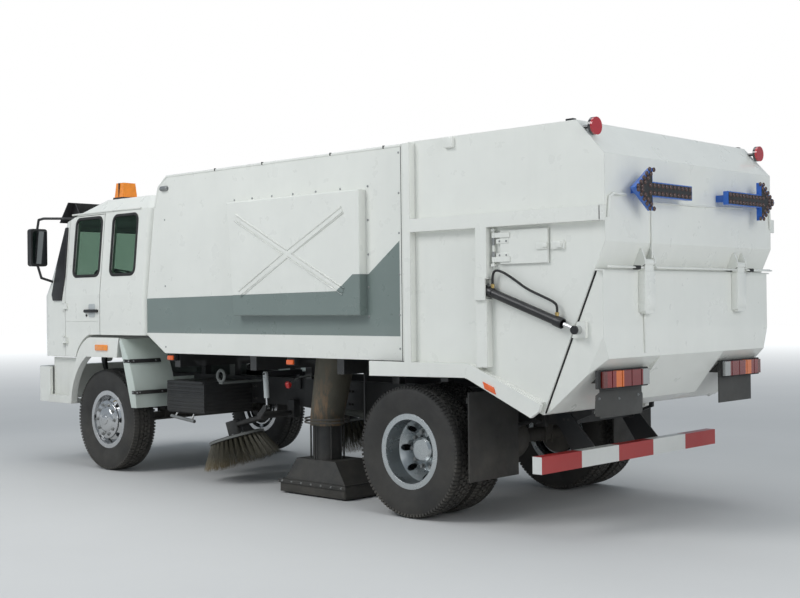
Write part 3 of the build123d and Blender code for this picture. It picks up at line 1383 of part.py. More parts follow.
with BuildPart() as cab_skin:
    add(cab_body(0, cab_low_z))
    add(cab_under.part, mode=Mode.SUBTRACT)
with BuildPart() as cab_shell:
    add(cab_skin.part)
    add(cab_body(cab_wall, cab_sill_z + cab_wall), mode=Mode.SUBTRACT)
    with BuildPart(mode=Mode.PRIVATE) as foot_well:
        add(cab_body(cab_wall, cab_low_z + cab_wall))
        add(block(cab_arch_end_x + 60, cab_front_x, -cab_half_width, cab_half_width, cab_low_z,
                  cab_sill_z + 60),
            mode=Mode.INTERSECT)
    add(foot_well.part, mode=Mode.SUBTRACT)
    with BuildPart(mode=Mode.PRIVATE) as door_hole:
        add(door_prism(panel_gap, door_rear_gap))
        add(cab_body(cab_wall + panel_gap, cab_floor_low), mode=Mode.SUBTRACT)
    add(door_hole.part, mode=Mode.SUBTRACT)
    add(mirrored(door_hole.part), mode=Mode.SUBTRACT)
    add(side_window(0, side_window_rear_x, side_window_front_x), mode=Mode.SUBTRACT)
    add(screen_window(0), mode=Mode.SUBTRACT)
    # Ears around the tilt pins
    for side in (-1, 1):
        low, high = sorted((side * cab_ear_inner_y, side * cab_ear_outer_y))
        add(plate([
            (cab_tilt_x - 70, cab_low_z + 5), (cab_tilt_x + 45, cab_low_z + 5),
            (cab_tilt_x + 28, cab_tilt_z - 20),
            (cab_tilt_x, cab_tilt_z - 32), (cab_tilt_x - 28, cab_tilt_z - 20)], low, high))
        add(rod((cab_tilt_x, low, cab_tilt_z), (cab_tilt_x, high, cab_tilt_z),
                cab_pivot_radius + running_gap),
            mode=Mode.SUBTRACT)
    # Hinge pins of the doors, in their brackets
    with BuildPart(mode=Mode.PRIVATE) as hinge_side:
        for z in door_hinge_heights:
            add(rod(hinge_point(z - 45), hinge_point(z + 45), door_hinge_pin))
            for low in (z - 45, z + door_hinge_half + 1):
                add(rod(hinge_point(low), hinge_point(low + 14), door_hinge_pin + 1.4))
                hinge_y = hinge_point(low)[1]
                add(block(door_hinge_x, door_hinge_x + 50, hinge_y - door_hinge_pin, hinge_y + door_hinge_pin,
                          low, low + 14))
                add(block(door_hinge_x + 12, door_hinge_x + 50, cab_half_width - 10, hinge_y, low, low + 14))
    add(hinge_side.part)
    add(mirrored(hinge_side.part))
save(cab_shell.part, "cab_shell")

with BuildPart() as cab_door:
    add(cab_skin.part)
    add(cab_body(cab_wall, cab_floor_low), mode=Mode.SUBTRACT)
    add(door_prism(0, 0), mode=Mode.INTERSECT)
    add(side_window(0, door_window_rear_x, door_window_front_x), mode=Mode.SUBTRACT)
    for z in door_hinge_heights:
        hinge_y = hinge_point(z)[1]
        add(block(door_hinge_x - 50, door_hinge_x, cab_half_width - 10, hinge_y + 6,
                  z - door_hinge_half, z + door_hinge_half))
        add(rod(hinge_point(z - door_hinge_half), hinge_point(z + door_hinge_half), door_hinge_pin + 4))
        add(rod(hinge_point(z - door_hinge_half - 1), hinge_point(z + door_hinge_half + 1),
                door_hinge_pin + running_gap), mode=Mode.SUBTRACT)
save_pair(cab_door.part, "door")

with BuildPart() as door_glass:
    add(pane(side_window(0.3, door_window_rear_x, door_window_front_x), 14))
    add(block(cab_rear_x, cab_front_x, 0, cab_half_width, 0, cab_roof_z), mode=Mode.INTERSECT)
save_pair(door_glass.part, "door_glass")

with BuildPart() as cab_glass:
    add(pane(side_window(0.3, side_window_rear_x, side_window_front_x), 14))
    add(pane(screen_window(0.3), 14))
save(cab_glass.part, "cab_glass")

cab_floor_z = cab_sill_z + cab_wall
with BuildPart() as seats:
    for side in (-1, 1):
        middle = side * seat_y
        add(block(seat_x - 250, seat_x + 250, middle - 230, middle + 230, seat_top_z - 130, seat_top_z))
        add(block(seat_x - 320, seat_x - 200, middle - 225, middle + 225, seat_top_z - 60, seat_top_z + 560))
        add(block(seat_x - 180, seat_x + 180, middle - 150, middle + 150, cab_floor_z, seat_top_z - 125))
save(seats.part, "seats")

with BuildPart() as dashboard:
    add(cab_body(cab_wall, cab_floor_low))
    add(plate([
        (dash_rear_x, dash_low_z), (dash_rear_x, dash_top_z - 60), (dash_rear_x + 80, dash_top_z),
        (cab_front_x, dash_top_z), (cab_front_x, dash_low_z)], -dash_half_width, dash_half_width),
        mode=Mode.INTERSECT)
    wheel_centre = Vector(dash_rear_x - 130, seat_y, dash_top_z + 40)
    column = Vector(-0.5, 0, 0.866)
    add(rod(tuple(wheel_centre - column * 330), tuple(wheel_centre + column * 8), 24))
    with Locations(Plane(origin=tuple(wheel_centre), z_dir=column)):
        Torus(220, 16)
        Box(2 * 215, 36, 12)
save(dashboard.part, "dashboard")

with BuildPart() as mirror_left:
    add(block(mirror_x - 40, mirror_x + 30, mirror_y - 95, mirror_y + 95, mirror_low, mirror_top))
    fillet(mirror_left.edges().filter_by(Axis.X), radius=30)
    for path in mirror_arms:
        for start, end in zip(path, path[1:]):
            add(rod(start, end, mirror_arm_radius))
        for bend in path[1:-1]:
            with Locations(bend):
                Sphere(mirror_arm_radius)
    add(cab_skin.part, mode=Mode.SUBTRACT)
with BuildPart() as mirrors:
    add(mirror_left.part.solids().sort_by(Axis.Y)[-1])
    add(mirrored(mirror_left.part.solids().sort_by(Axis.Y)[-1]))
save(mirrors.part, "mirrors")

with BuildPart() as sun_visor:
    add(plate([
        (visor_top_x, visor_top_z), (visor_low_x, visor_low_z), (visor_low_x - 12, visor_low_z - 4),
        (visor_top_x - 14, visor_top_z - 4)], -visor_half_width, visor_half_width))
    for side in (-1, 1):
        low, high = sorted((side * (visor_half_width - 90), side * (visor_half_width - 80)))
        add(plate([
            (visor_top_x - 6, visor_top_z - 8), (visor_low_x - 60, visor_low_z + 40),
            (cab_screen_top_x - 10, cab_screen_top_z), (cab_screen_top_x - 140, cab_screen_top_z + 20)],
            low, high))
    add(cab_skin.part, mode=Mode.SUBTRACT)
save(sun_visor.part, "sun_visor")

with BuildPart() as beacons:
    for side in (-1, 1):
        middle = side * beacon_y
        add(block(beacon_x - beacon_length / 2 - 8, beacon_x + beacon_length / 2 + 8,
                  middle - beacon_width / 2 - 8,
                  middle + beacon_width / 2 + 8, cab_roof_z, cab_roof_z + beacon_base))
        with BuildSketch(Plane.XY.offset(cab_roof_z + beacon_base)):
            with Locations((beacon_x, middle)):
                Rectangle(beacon_length, beacon_width)
        extrude(amount=beacon_top_z - cab_roof_z - beacon_base, taper=5)
save(beacons.part, "beacons")
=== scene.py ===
"""Looks of the street sweeper truck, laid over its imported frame."""
import json
from math import cos, hypot, pi, radians, sin, sqrt

import bmesh
import bpy
from mathutils import Matrix, Vector


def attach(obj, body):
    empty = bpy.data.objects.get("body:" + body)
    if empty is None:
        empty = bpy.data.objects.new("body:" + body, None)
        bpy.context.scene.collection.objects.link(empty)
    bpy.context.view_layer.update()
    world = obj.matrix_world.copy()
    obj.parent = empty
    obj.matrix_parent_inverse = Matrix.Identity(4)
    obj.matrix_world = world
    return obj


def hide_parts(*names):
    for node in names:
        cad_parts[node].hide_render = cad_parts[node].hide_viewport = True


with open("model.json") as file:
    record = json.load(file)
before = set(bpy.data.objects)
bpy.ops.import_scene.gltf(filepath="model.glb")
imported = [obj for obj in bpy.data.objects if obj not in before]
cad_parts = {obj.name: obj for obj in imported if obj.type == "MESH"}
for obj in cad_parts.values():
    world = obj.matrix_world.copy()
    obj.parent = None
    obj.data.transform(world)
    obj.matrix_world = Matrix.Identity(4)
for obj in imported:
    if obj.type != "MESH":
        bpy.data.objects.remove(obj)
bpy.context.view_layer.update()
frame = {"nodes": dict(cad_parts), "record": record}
scene = bpy.context.scene

REAR_AXLE = -1.8
FRONT_AXLE = 4.2
AXLE_HEIGHT = 0.506
FRONT_TRACK = 0.99
REAR_TRACKS = (0.785, 1.085)
RAIL_SIDE = 0.4305
HOUSE_SIDE = 1.1505
CYLINDER_SIDE = 1.212
SIDES = (("left", 1), ("right", -1))


def at(x, y, z):
    """A point from its distance in front of the rear axle, its side and its height, in metres."""
    return Vector((REAR_AXLE + x, y, z))


# Camera, at the photographer's place

def set_up_camera():
    yaw, pitch, roll = radians(-46.676), radians(0.235), radians(-0.631)
    ahead = Vector((cos(pitch) * cos(yaw), cos(pitch) * sin(yaw), sin(pitch)))
    level = Vector((sin(yaw), -cos(yaw), 0))
    above = level.cross(ahead)
    right = level * cos(roll) + above * sin(roll)
    up = above * cos(roll) - level * sin(roll)
    lens = bpy.data.cameras.new("yard_camera")
    lens.lens, lens.sensor_width = 54.95, 36
    lens.clip_start, lens.clip_end = 0.1, 200
    camera = bpy.data.objects.new("yard_camera", lens)
    scene.collection.objects.link(camera)
    turn = Matrix((right, up, -ahead)).transposed().to_4x4()
    camera.matrix_world = Matrix.Translation((-8.1179, 7.9683, 1.6265)) @ turn
    scene.camera = camera


set_up_camera()


# Hydraulic hoses, each held at both of its ends

def hose(name, body, points, rubber):
    """Smooth rubber hose along a few guide points."""
    curve = bpy.data.curves.new(name, "CURVE")
    curve.dimensions = "3D"
    line = curve.splines.new("NURBS")
    line.points.add(len(points) - 1)
    for spot, place in zip(line.points, points):
        spot.co = (*place, 1)
    line.order_u = 3
    line.use_endpoint_u = True
    curve.bevel_depth = 0.009
    curve.bevel_resolution = 3
    curve.use_fill_caps = True
    curve.materials.append(rubber)
    piece = bpy.data.objects.new(name, curve)
    scene.collection.objects.link(piece)
    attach(piece, body)
    return piece


# Finishes

class Recipe:
    """Adds nodes to one tree: an input given as another node's output is linked, any other is set."""

    def __init__(self, tree):
        self.tree = tree

    def add(self, kind, inputs=None, **settings):
        node = self.tree.nodes.new(kind)
        for name, value in settings.items():
            setattr(node, name, value)
        for key, value in (inputs or {}).items():
            if isinstance(value, bpy.types.NodeSocket):
                self.tree.links.new(value, node.inputs[key])
            else:
                node.inputs[key].default_value = value
        return node

    def math(self, operation, first, second=0.0, third=0.0, clamp=False):
        return self.add("ShaderNodeMath", {0: first, 1: second, 2: third},
                        operation=operation, use_clamp=clamp).outputs[0]

    def spread(self, value, low, high, to_low=0.0, to_high=1.0, smooth=False):
        kind = "SMOOTHSTEP" if smooth else "LINEAR"
        return self.add("ShaderNodeMapRange", {0: value, 1: low, 2: high, 3: to_low, 4: to_high},
                        interpolation_type=kind).outputs[0]

    def noise(self, place, scale, detail=3.0, rough=0.55):
        return self.add("ShaderNodeTexNoise", {"Vector": place, "Scale": scale, "Detail": detail,
                                               "Roughness": rough}).outputs[0]

    def mix(self, mask, first, second):
        return self.add("ShaderNodeMix", {0: mask, 6: first, 7: second}, data_type="RGBA").outputs[2]

    def stretch(self, place, scale, shift=(0, 0, 0)):
        return self.add("ShaderNodeMapping", {"Vector": place, "Scale": scale, "Location": shift}).outputs[0]

    def group(self, tree, inputs):
        return self.add("ShaderNodeGroup", inputs, node_tree=tree)


def shared_effect(name, inputs, outputs):
    """Empty shader group with its named sockets, and the recipe that fills it."""
    tree = bpy.data.node_groups.new(name, "ShaderNodeTree")
    for label, kind, value in inputs:
        socket = tree.interface.new_socket(label, in_out="INPUT", socket_type=kind)
        if value is not None:
            socket.default_value = value
    for label, kind in outputs:
        tree.interface.new_socket(label, in_out="OUTPUT", socket_type=kind)
    recipe = Recipe(tree)
    return tree, recipe, recipe.add("NodeGroupInput"), recipe.add("NodeGroupOutput")


def make_road_dust():
    tree, recipe, given, result = shared_effect(
        "road_dust",
        [("Place", "NodeSocketVector", None), ("Low", "NodeSocketFloat", 0.2),
         ("High", "NodeSocketFloat", 1.2), ("Patches", "NodeSocketFloat", 4.0)],
        [("Dust", "NodeSocketFloat")])
    height = recipe.add("ShaderNodeSeparateXYZ", {0: given.outputs["Place"]}).outputs[2]
    fading = recipe.add("ShaderNodeMapRange",
                        {0: height, 1: given.outputs["Low"], 2: given.outputs["High"], 3: 1.0,
                         4: 0.0}, interpolation_type="SMOOTHSTEP").outputs[0]
    patches = recipe.add("ShaderNodeTexNoise",
                         {"Vector": given.outputs["Place"], "Scale": given.outputs["Patches"],
                          "Detail": 6.0, "Roughness": 0.65}).outputs[0]
    uneven = recipe.spread(patches, 0.35, 0.68, 0.25, 1.0)
    recipe.tree.links.new(recipe.math("MULTIPLY", fading, uneven), result.inputs["Dust"])
    return tree


def make_rain_marks():
    tree, recipe, given, result = shared_effect(
        "rain_marks", [("Place", "NodeSocketVector", None), ("Scale", "NodeSocketFloat", 3.0)],
        [("Marks", "NodeSocketFloat")])
    drawn = recipe.stretch(given.outputs["Place"], (5.0, 5.0, 0.35))
    streaks = recipe.add("ShaderNodeTexNoise",
                         {"Vector": drawn, "Scale": given.outputs["Scale"], "Detail": 5.0,
                          "Roughness": 0.6}).outputs[0]
    recipe.tree.links.new(recipe.spread(streaks, 0.48, 0.78), result.inputs["Marks"])
    return tree


def make_edge_wear_and_highlight():
    tree, recipe, given, result = shared_effect(
        "edge_wear_and_highlight", [("Radius", "NodeSocketFloat", 0.004)],
        [("Edge", "NodeSocketFloat"), ("Normal", "NodeSocketVector")])
    rounded = recipe.add("ShaderNodeBevel", {"Radius": given.outputs["Radius"]}, samples=4).outputs[0]
    straight = recipe.add("ShaderNodeNewGeometry").outputs["Normal"]
    likeness = recipe.add("ShaderNodeVectorMath", {0: rounded, 1: straight},
                          operation="DOT_PRODUCT").outputs["Value"]
    recipe.tree.links.new(recipe.spread(likeness, 0.99, 0.86), result.inputs["Edge"])
    recipe.tree.links.new(rounded, result.inputs["Normal"])
    return tree


def make_uneven_tone():
    tree, recipe, given, result = shared_effect(
        "uneven_tone",
        [("Colour", "NodeSocketColor", (0.8, 0.8, 0.8, 1)), ("Place", "NodeSocketVector", None),
         ("Scale", "NodeSocketFloat", 3.0), ("Depth", "NodeSocketFloat", 0.06)],
        [("Colour", "NodeSocketColor")])
    cloud = recipe.add("ShaderNodeTexNoise",
                       {"Vector": given.outputs["Place"], "Scale": given.outputs["Scale"],
                        "Detail": 5.0, "Roughness": 0.6}).outputs[0]
    centred = recipe.math("SUBTRACT", recipe.spread(cloud, 0.3, 0.7), 0.5)
    value = recipe.math("ADD", recipe.math("MULTIPLY", centred, given.outputs["Depth"]), 1.0)
    toned = recipe.add("ShaderNodeHueSaturation",
                       {"Value": value, "Color": given.outputs["Colour"]}).outputs[0]
    recipe.tree.links.new(toned, result.inputs["Colour"])
    return tree


def make_fine_skin():
    tree, recipe, given, result = shared_effect(
        "fine_skin", [("Place", "NodeSocketVector", None), ("Scale", "NodeSocketFloat", 200.0)],
        [("Height", "NodeSocketFloat")])
    fine = recipe.add("ShaderNodeTexNoise",
                      {"Vector": given.outputs["Place"], "Scale": given.outputs["Scale"],
                       "Detail": 2.0}).outputs[0]
    broad = recipe.noise(given.outputs["Place"], 9.0, 2.0)
    recipe.tree.links.new(recipe.math("ADD", recipe.math("MULTIPLY", fine, 0.4), broad),
                          result.inputs["Height"])
    return tree


ROAD_DUST = make_road_dust()
RAIN_MARKS = make_rain_marks()
EDGE_WEAR_AND_HIGHLIGHT = make_edge_wear_and_highlight()
UNEVEN_TONE = make_uneven_tone()
FINE_SKIN = make_fine_skin()
DUST_COLOUR = (0.30, 0.27, 0.22, 1)


def finish(name, colour, rough, metal=0.0, coat=0.0, tone=0.08, tone_scale=2.5, dust=0.0, dust_top=1.2,
           marks=0.0,
           edge=0.0, edge_wear_and_highlight_colour=(0.5, 0.5, 0.5), edge_radius=0.004, skin=0.04, skin_scale=180.0, layer=None,
           relief=None, clear=0.0, glow=0.0):
    """One material: a colour or a painted layer, uneven tone, rain marks, road dust, edges in another colour
    (rubbed wear, and a painted highlight where that colour is lighter) and a fine skin.
    layer(recipe, place) gives the colour instead, and relief(recipe, place) a height for the bump."""
    material = bpy.data.materials.new(name)
    material.use_nodes = True
    tree = material.node_tree
    tree.nodes.clear()
    recipe = Recipe(tree)
    place = recipe.add("ShaderNodeTexCoord").outputs["Object"]
    paint = layer(recipe, place) if layer else (*colour, 1)
    paint = recipe.group(UNEVEN_TONE,
                         {"Colour": paint, "Place": place, "Scale": tone_scale, "Depth": tone}).outputs[0]
    gloss = recipe.spread(recipe.noise(place, 6.0, 4.0), 0.3, 0.7, rough * 0.85, min(1.0, rough * 1.2))
    if marks:
        streaks = recipe.group(RAIN_MARKS, {"Place": place, "Scale": 3.0}).outputs[0]
        paint = recipe.mix(recipe.math("MULTIPLY", streaks, marks), paint, (0.33, 0.33, 0.29, 1))
    # Edges take another colour: rubbed wear, and a painted highlight where that colour is lighter than the
    # paint.
    if edge:
        rim = recipe.group(EDGE_WEAR_AND_HIGHLIGHT, {"Radius": edge_radius})
        patchy = recipe.spread(recipe.noise(place, 25.0, 4.0), 0.42, 0.62)
        worn_and_highlit = recipe.math("MULTIPLY", rim.outputs["Edge"], recipe.math("MULTIPLY", patchy, edge))
        paint = recipe.mix(worn_and_highlit, paint, (*edge_wear_and_highlight_colour, 1))
    if dust:
        layer_of_dust = recipe.group(ROAD_DUST, {"Place": place, "Low": 0.1, "High": dust_top,
                                                 "Patches": 3.5}).outputs[0]
        dusty = recipe.math("MULTIPLY", layer_of_dust, dust)
        paint = recipe.mix(dusty, paint, DUST_COLOUR)
        gloss = recipe.math("ADD", gloss, recipe.math("MULTIPLY", dusty, 0.35), clamp=True)
    height = recipe.group(FINE_SKIN, {"Place": place, "Scale": skin_scale}).outputs[0]
    if relief:
        height = recipe.math("ADD", recipe.math("MULTIPLY", height, skin), relief(recipe, place))
    bump = {"Height": height, "Strength": 0.6 if relief else skin, "Distance": 0.01}
    if edge:
        bump["Normal"] = rim.outputs["Normal"]
    surface = {"Base Color": paint, "Roughness": gloss, "Metallic": metal, "Coat Weight": coat,
               "Normal": recipe.add("ShaderNodeBump", bump).outputs[0]}
    if clear:
        surface["Transmission Weight"] = clear
    if glow:
        surface["Emission Color"] = paint
        surface["Emission Strength"] = glow
    shader = recipe.add("ShaderNodeBsdfPrincipled", surface)
    recipe.tree.links.new(shader.outputs[0], recipe.add("ShaderNodeOutputMaterial").inputs[0])
    return material


def split(recipe, place):
    """The three coordinates, the first measured from the rear axle."""
    parts = recipe.add("ShaderNodeSeparateXYZ", {0: place}).outputs
    return recipe.math("ADD", parts[0], -REAR_AXLE), parts[1], parts[2]


WHITE = (0.81, 0.82, 0.77)
STRIPE_GREY = (0.19, 0.235, 0.22)
HOUSE_UNDERSIDE = 1.1895


def house_stripe(recipe, place):
    """White paint with the grey band, whose top climbs towards the hopper, and painted shade under the house:
    all below its underside is painted near black.
    """
    x, y, z = split(recipe, place)
    top = recipe.math("ADD", recipe.spread(x, 3.43, 0.734, 1.705, 1.735),
                      recipe.spread(x, 0.734, 0.55, 0.0, 0.13))
    top = recipe.math("ADD", top, recipe.spread(x, 0.449, 0.108, 0.0, 0.252))
    below = recipe.math("LESS_THAN", z, top)
    band = recipe.math("MULTIPLY", below, recipe.math("GREATER_THAN", z, 1.378))
    band = recipe.math("MULTIPLY", band, recipe.math("GREATER_THAN", x, 0.112))
    outside = recipe.math("GREATER_THAN", recipe.math("ABSOLUTE", y), 1.14)
    paint = recipe.mix(recipe.math("MULTIPLY", band, outside), (*WHITE, 1), (*STRIPE_GREY, 1))
    # Painted shade: everything below the house's underside, the white bearers too, is painted near black.
    return recipe.mix(recipe.math("LESS_THAN", z, HOUSE_UNDERSIDE), paint, (0.018, 0.019, 0.020, 1))


def painted_shade_on_guard(recipe, place):
    """The curved guard behind the wheel is painted a little greener and darker than the fender: painted shade
    on its rear face.
    """
    x, _, _ = split(recipe, place)
    # Painted shade: the guard part, behind x 3.875, is greener and darker than the white fender.
    return recipe.mix(recipe.math("LESS_THAN", x, 3.875), (*WHITE, 1), (0.60, 0.67, 0.62, 1))


BAR_FRONT = -1.172
BAR_END = 1.195


def bar_bands(recipe, place):
    """Five red and white bands of the bar under the tail, each as long as the next."""
    x, y, _ = split(recipe, place)
    count = recipe.math("FLOOR", recipe.math("DIVIDE", recipe.math("ADD", y, BAR_END), 2 * BAR_END / 5))
    odd = recipe.math("MODULO", count, 2.0)
    film = recipe.mix(odd, (0.40, 0.022, 0.022, 1), (0.72, 0.73, 0.70, 1))
    return recipe.mix(recipe.math("GREATER_THAN", x, BAR_FRONT), film, (0.020, 0.021, 0.023, 1))


def lens_bands(recipe, place):
    """Tail lamp: dark red, red, amber, red and clear, counted from outside."""
    x, y, _ = split(recipe, place)
    out = recipe.math("ABSOLUTE", y)
    colour = recipe.mix(recipe.math("GREATER_THAN", out, 0.622), (0.36, 0.37, 0.36, 1),
                        (0.19, 0.008, 0.008, 1))
    colour = recipe.mix(recipe.math("GREATER_THAN", out, 0.862), colour, (0.72, 0.15, 0.010, 1))
    colour = recipe.mix(recipe.math("GREATER_THAN", out, 0.957), colour, (0.22, 0.009, 0.009, 1))
    colour = recipe.mix(recipe.math("GREATER_THAN", out, 1.064), colour, (0.13, 0.014, 0.010, 1))
    return recipe.mix(recipe.math("GREATER_THAN", x, -1.6835), colour, (0.02, 0.02, 0.02, 1))


def lens_ribs(recipe, place):
    _, _, z = split(recipe, place)
    return recipe.math("MULTIPLY", recipe.math("SINE", recipe.math("MULTIPLY", z, 700.0)), 0.06)


def tyre_rings(radius_of):
    """Fine rings of a tyre's side wall, round the wheel whose centre is given."""
    def relief(recipe, place):
        parts = recipe.add("ShaderNodeSeparateXYZ", {0: place}).outputs
        across = recipe.math("POWER", recipe.math("SUBTRACT", parts[0], radius_of[0]), 2.0)
        rise = recipe.math("POWER", recipe.math("SUBTRACT", parts[2], radius_of[1]), 2.0)
        radius = recipe.math("SQRT", recipe.math("ADD", across, rise))
        rings = recipe.math("MULTIPLY", recipe.math("SINE", recipe.math("MULTIPLY", radius, 900.0)), 0.05)
        inner = recipe.math("LESS_THAN", radius, 0.44)
        return recipe.math("MULTIPLY", rings, inner)
    return relief


def tube_rubber_tone(recipe, place):
    """Olive rubber with rusty dust in its folds, more towards the foot."""
    _, _, z = split(recipe, place)
    folds = recipe.noise(recipe.stretch(place, (9.0, 9.0, 2.2)), 1.0, 6.0, 0.7)
    rust = recipe.math("MULTIPLY", recipe.spread(folds, 0.5, 0.66), recipe.spread(z, 1.15, 0.75))
    base = recipe.mix(recipe.noise(place, 5.0, 4.0), (0.060, 0.056, 0.042, 1), (0.115, 0.105, 0.078, 1))
    return recipe.mix(rust, base, (0.26, 0.15, 0.075, 1))


def tube_folds(recipe, place):
    return recipe.math("MULTIPLY", recipe.noise(recipe.stretch(place, (7.0, 7.0, 2.0)), 1.2, 4.0, 0.6), 0.9)


def bristle_tone(recipe, place):
    _, _, z = split(recipe, place)
    strands = recipe.noise(recipe.stretch(place, (120.0, 120.0, 6.0)), 1.0, 2.0)
    base = recipe.mix(strands, (0.022, 0.021, 0.016, 1), (0.17, 0.155, 0.11, 1))
    return recipe.mix(recipe.spread(z, 0.25, 0.12), base, (0.19, 0.145, 0.075, 1))


def weave(recipe, place):
    """Height of a plain cloth weave."""
    warp = recipe.add("ShaderNodeTexWave", {"Vector": place, "Scale": 160.0, "Distortion": 0.6},
                      bands_direction="X")
    weft = recipe.add("ShaderNodeTexWave", {"Vector": place, "Scale": 160.0, "Distortion": 0.6},
                      bands_direction="Y")
    return recipe.math("MULTIPLY", recipe.math("MULTIPLY", warp.outputs[1], weft.outputs[1]), 0.25)


def ribbed_cover(recipe, place):
    _, _, z = split(recipe, place)
    return recipe.math("MULTIPLY", recipe.math("SINE", recipe.math("MULTIPLY", z, 190.0)), 0.4)


def cap_tone(recipe, place):
    """Lamp behind the roof: a red lens in a black case."""
    x, _, _ = split(recipe, place)
    return recipe.mix(recipe.math("LESS_THAN", x, -1.692), (0.02, 0.02, 0.02, 1), (0.45, 0.01, 0.02, 1))


PAINT = {
    "white": finish("white_paint", WHITE, 0.30, coat=0.35, tone=0.05, dust=0.14, dust_top=1.5, marks=0.03,
                    edge=0.12, edge_wear_and_highlight_colour=(0.60, 0.61, 0.58), edge_radius=0.006),
    "house": finish("house_paint", WHITE, 0.30, coat=0.35, tone=0.05, dust=0.08, dust_top=1.7, marks=0.025,
                    edge=0.12, edge_wear_and_highlight_colour=(0.60, 0.61, 0.58), edge_radius=0.006, layer=house_stripe),
    # The guard finish carries painted shade on the guard behind each front wheel.
    "guard": finish("fender_paint_with_painted_shade", WHITE, 0.36, coat=0.2, tone=0.06, dust=0.35, dust_top=1.4, marks=0.08,
                    edge=0.12, edge_wear_and_highlight_colour=(0.55, 0.56, 0.52), edge_radius=0.006, layer=painted_shade_on_guard),
    "chassis": finish("chassis_paint", (0.016, 0.017, 0.018), 0.50, tone=0.3, dust=0.20, dust_top=1.0,
                      edge=0.25, edge_wear_and_highlight_colour=(0.10, 0.09, 0.08), skin=0.12),
    "steel": finish("dull_steel", (0.32, 0.33, 0.33), 0.42, metal=0.85, tone=0.2, dust=0.3, edge=0.3,
                    edge_wear_and_highlight_colour=(0.5, 0.5, 0.5), skin=0.08),
    "cast": finish("cast_iron", (0.055, 0.052, 0.050), 0.62, metal=0.2, tone=0.35, dust=0.55, dust_top=1.0,
                   skin=0.35, skin_scale=90.0),
    "front_tyre": finish("front_tyre_rubber", (0.018, 0.018, 0.018), 0.62, tone=0.2, dust=0.14, dust_top=1.6,
                         relief=tyre_rings((REAR_AXLE + FRONT_AXLE, AXLE_HEIGHT))),
    "rear_tyre": finish("rear_tyre_rubber", (0.018, 0.018, 0.018), 0.62, tone=0.2, dust=0.14, dust_top=1.6,
                        relief=tyre_rings((REAR_AXLE, AXLE_HEIGHT))),
    "rubber": finish("black_rubber", (0.016, 0.016, 0.016), 0.62, tone=0.25, dust=0.25, dust_top=1.2,
                     skin=0.15),
    "plastic": finish("black_plastic", (0.018, 0.018, 0.019), 0.42, tone=0.15, skin=0.10, skin_scale=420.0),
    "front_rim": finish("polished_rim", (0.60, 0.61, 0.62), 0.20, metal=0.95, tone=0.06, dust=0.25,
                        dust_top=0.9, edge=0.2, edge_wear_and_highlight_colour=(0.75, 0.75, 0.75), skin=0.02),
    "rear_rim": finish("rim_paint", (0.50, 0.53, 0.54), 0.26, metal=0.95, tone=0.12, dust=0.12, dust_top=0.9,
                       edge=0.3, edge_wear_and_highlight_colour=(0.62, 0.63, 0.64), skin=0.04),
    "chrome": finish("rod_chrome", (0.62, 0.62, 0.62), 0.12, metal=1.0, tone=0.03, skin=0.01),
    "brass": finish("brass_fitting", (0.55, 0.40, 0.16), 0.32, metal=1.0, tone=0.2, skin=0.05),
    "bar": finish("bar_film", (0.6, 0.1, 0.1), 0.35, coat=0.2, tone=0.08, dust=0.20, dust_top=0.8,
                  layer=bar_bands),
    "tail_lens": finish("tail_lens", (0.4, 0.02, 0.02), 0.16, coat=0.8, tone=0.06, layer=lens_bands,
                        relief=lens_ribs),
    "cap_lens": finish("cap_lens", (0.4, 0.02, 0.02), 0.18, coat=0.8, tone=0.06, layer=cap_tone),
    "amber": finish("amber_lens", (0.85, 0.26, 0.015), 0.16, coat=0.9, tone=0.25, tone_scale=18.0,
                    relief=lens_ribs, glow=0.12),
    "orange": finish("orange_marker", (0.86, 0.13, 0.015), 0.28, coat=0.6, tone=0.10, tone_scale=30.0,
                     relief=lens_ribs),
    "clear_lens": finish("clear_lens", (0.75, 0.77, 0.77), 0.10, metal=0.55, coat=1.0, tone=0.2,
                         tone_scale=25.0, relief=lens_ribs),
    "blue": finish("board_blue", (0.012, 0.12, 0.52), 0.34, coat=0.3, tone=0.12, marks=0.1, edge=0.2,
                   edge_wear_and_highlight_colour=(0.1, 0.3, 0.6)),
    "led": finish("led_dome", (0.060, 0.022, 0.016), 0.26, coat=0.6, tone=0.5, tone_scale=40.0),
    "tube": finish("tube_rubber", (0.1, 0.1, 0.07), 0.60, tone=0.15, layer=tube_rubber_tone,
                   relief=tube_folds),
    "bristle": finish("brush_bristle", (0.2, 0.18, 0.12), 0.55, tone=0.4, tone_scale=30.0,
                      layer=bristle_tone),
    "cloth": finish("seat_cloth", (0.055, 0.060, 0.070), 0.85, tone=0.25, tone_scale=12.0, relief=weave),
    "battery": finish("battery_cover", (0.020, 0.021, 0.022), 0.45, tone=0.25, dust=0.22, dust_top=1.0,
                      relief=ribbed_cover),
    "tank": finish("tank_paint", (0.10, 0.10, 0.10), 0.40, metal=0.5, tone=0.2, dust=0.25, dust_top=1.0),
    "engine": finish("engine_paint", (0.060, 0.075, 0.070), 0.50, metal=0.3, tone=0.3, dust=0.45,
                     dust_top=1.2, skin=0.25, skin_scale=90.0),
    "pale_grey": finish("lift_cylinder_paint", (0.50, 0.53, 0.53), 0.38, tone=0.1, dust=0.25, dust_top=1.0),
    "barrel": finish("barrel_black", (0.012, 0.012, 0.013), 0.42, coat=0.1, tone=0.2, skin=0.03),
    "ring_grey": finish("ring_grey", (0.15, 0.16, 0.155), 0.5, tone=0.2, dust=0.2),
    "mirror": finish("mirror_face", (0.20, 0.21, 0.22), 0.05, metal=1.0, tone=0.02, skin=0.0),
    "red_knob": finish("red_knob", (0.62, 0.02, 0.02), 0.35, coat=0.4, tone=0.1),
    "plate_grey": finish("plate_grey", (0.055, 0.055, 0.052), 0.55, tone=0.15, dust=0.2, dust_top=1.3),
}


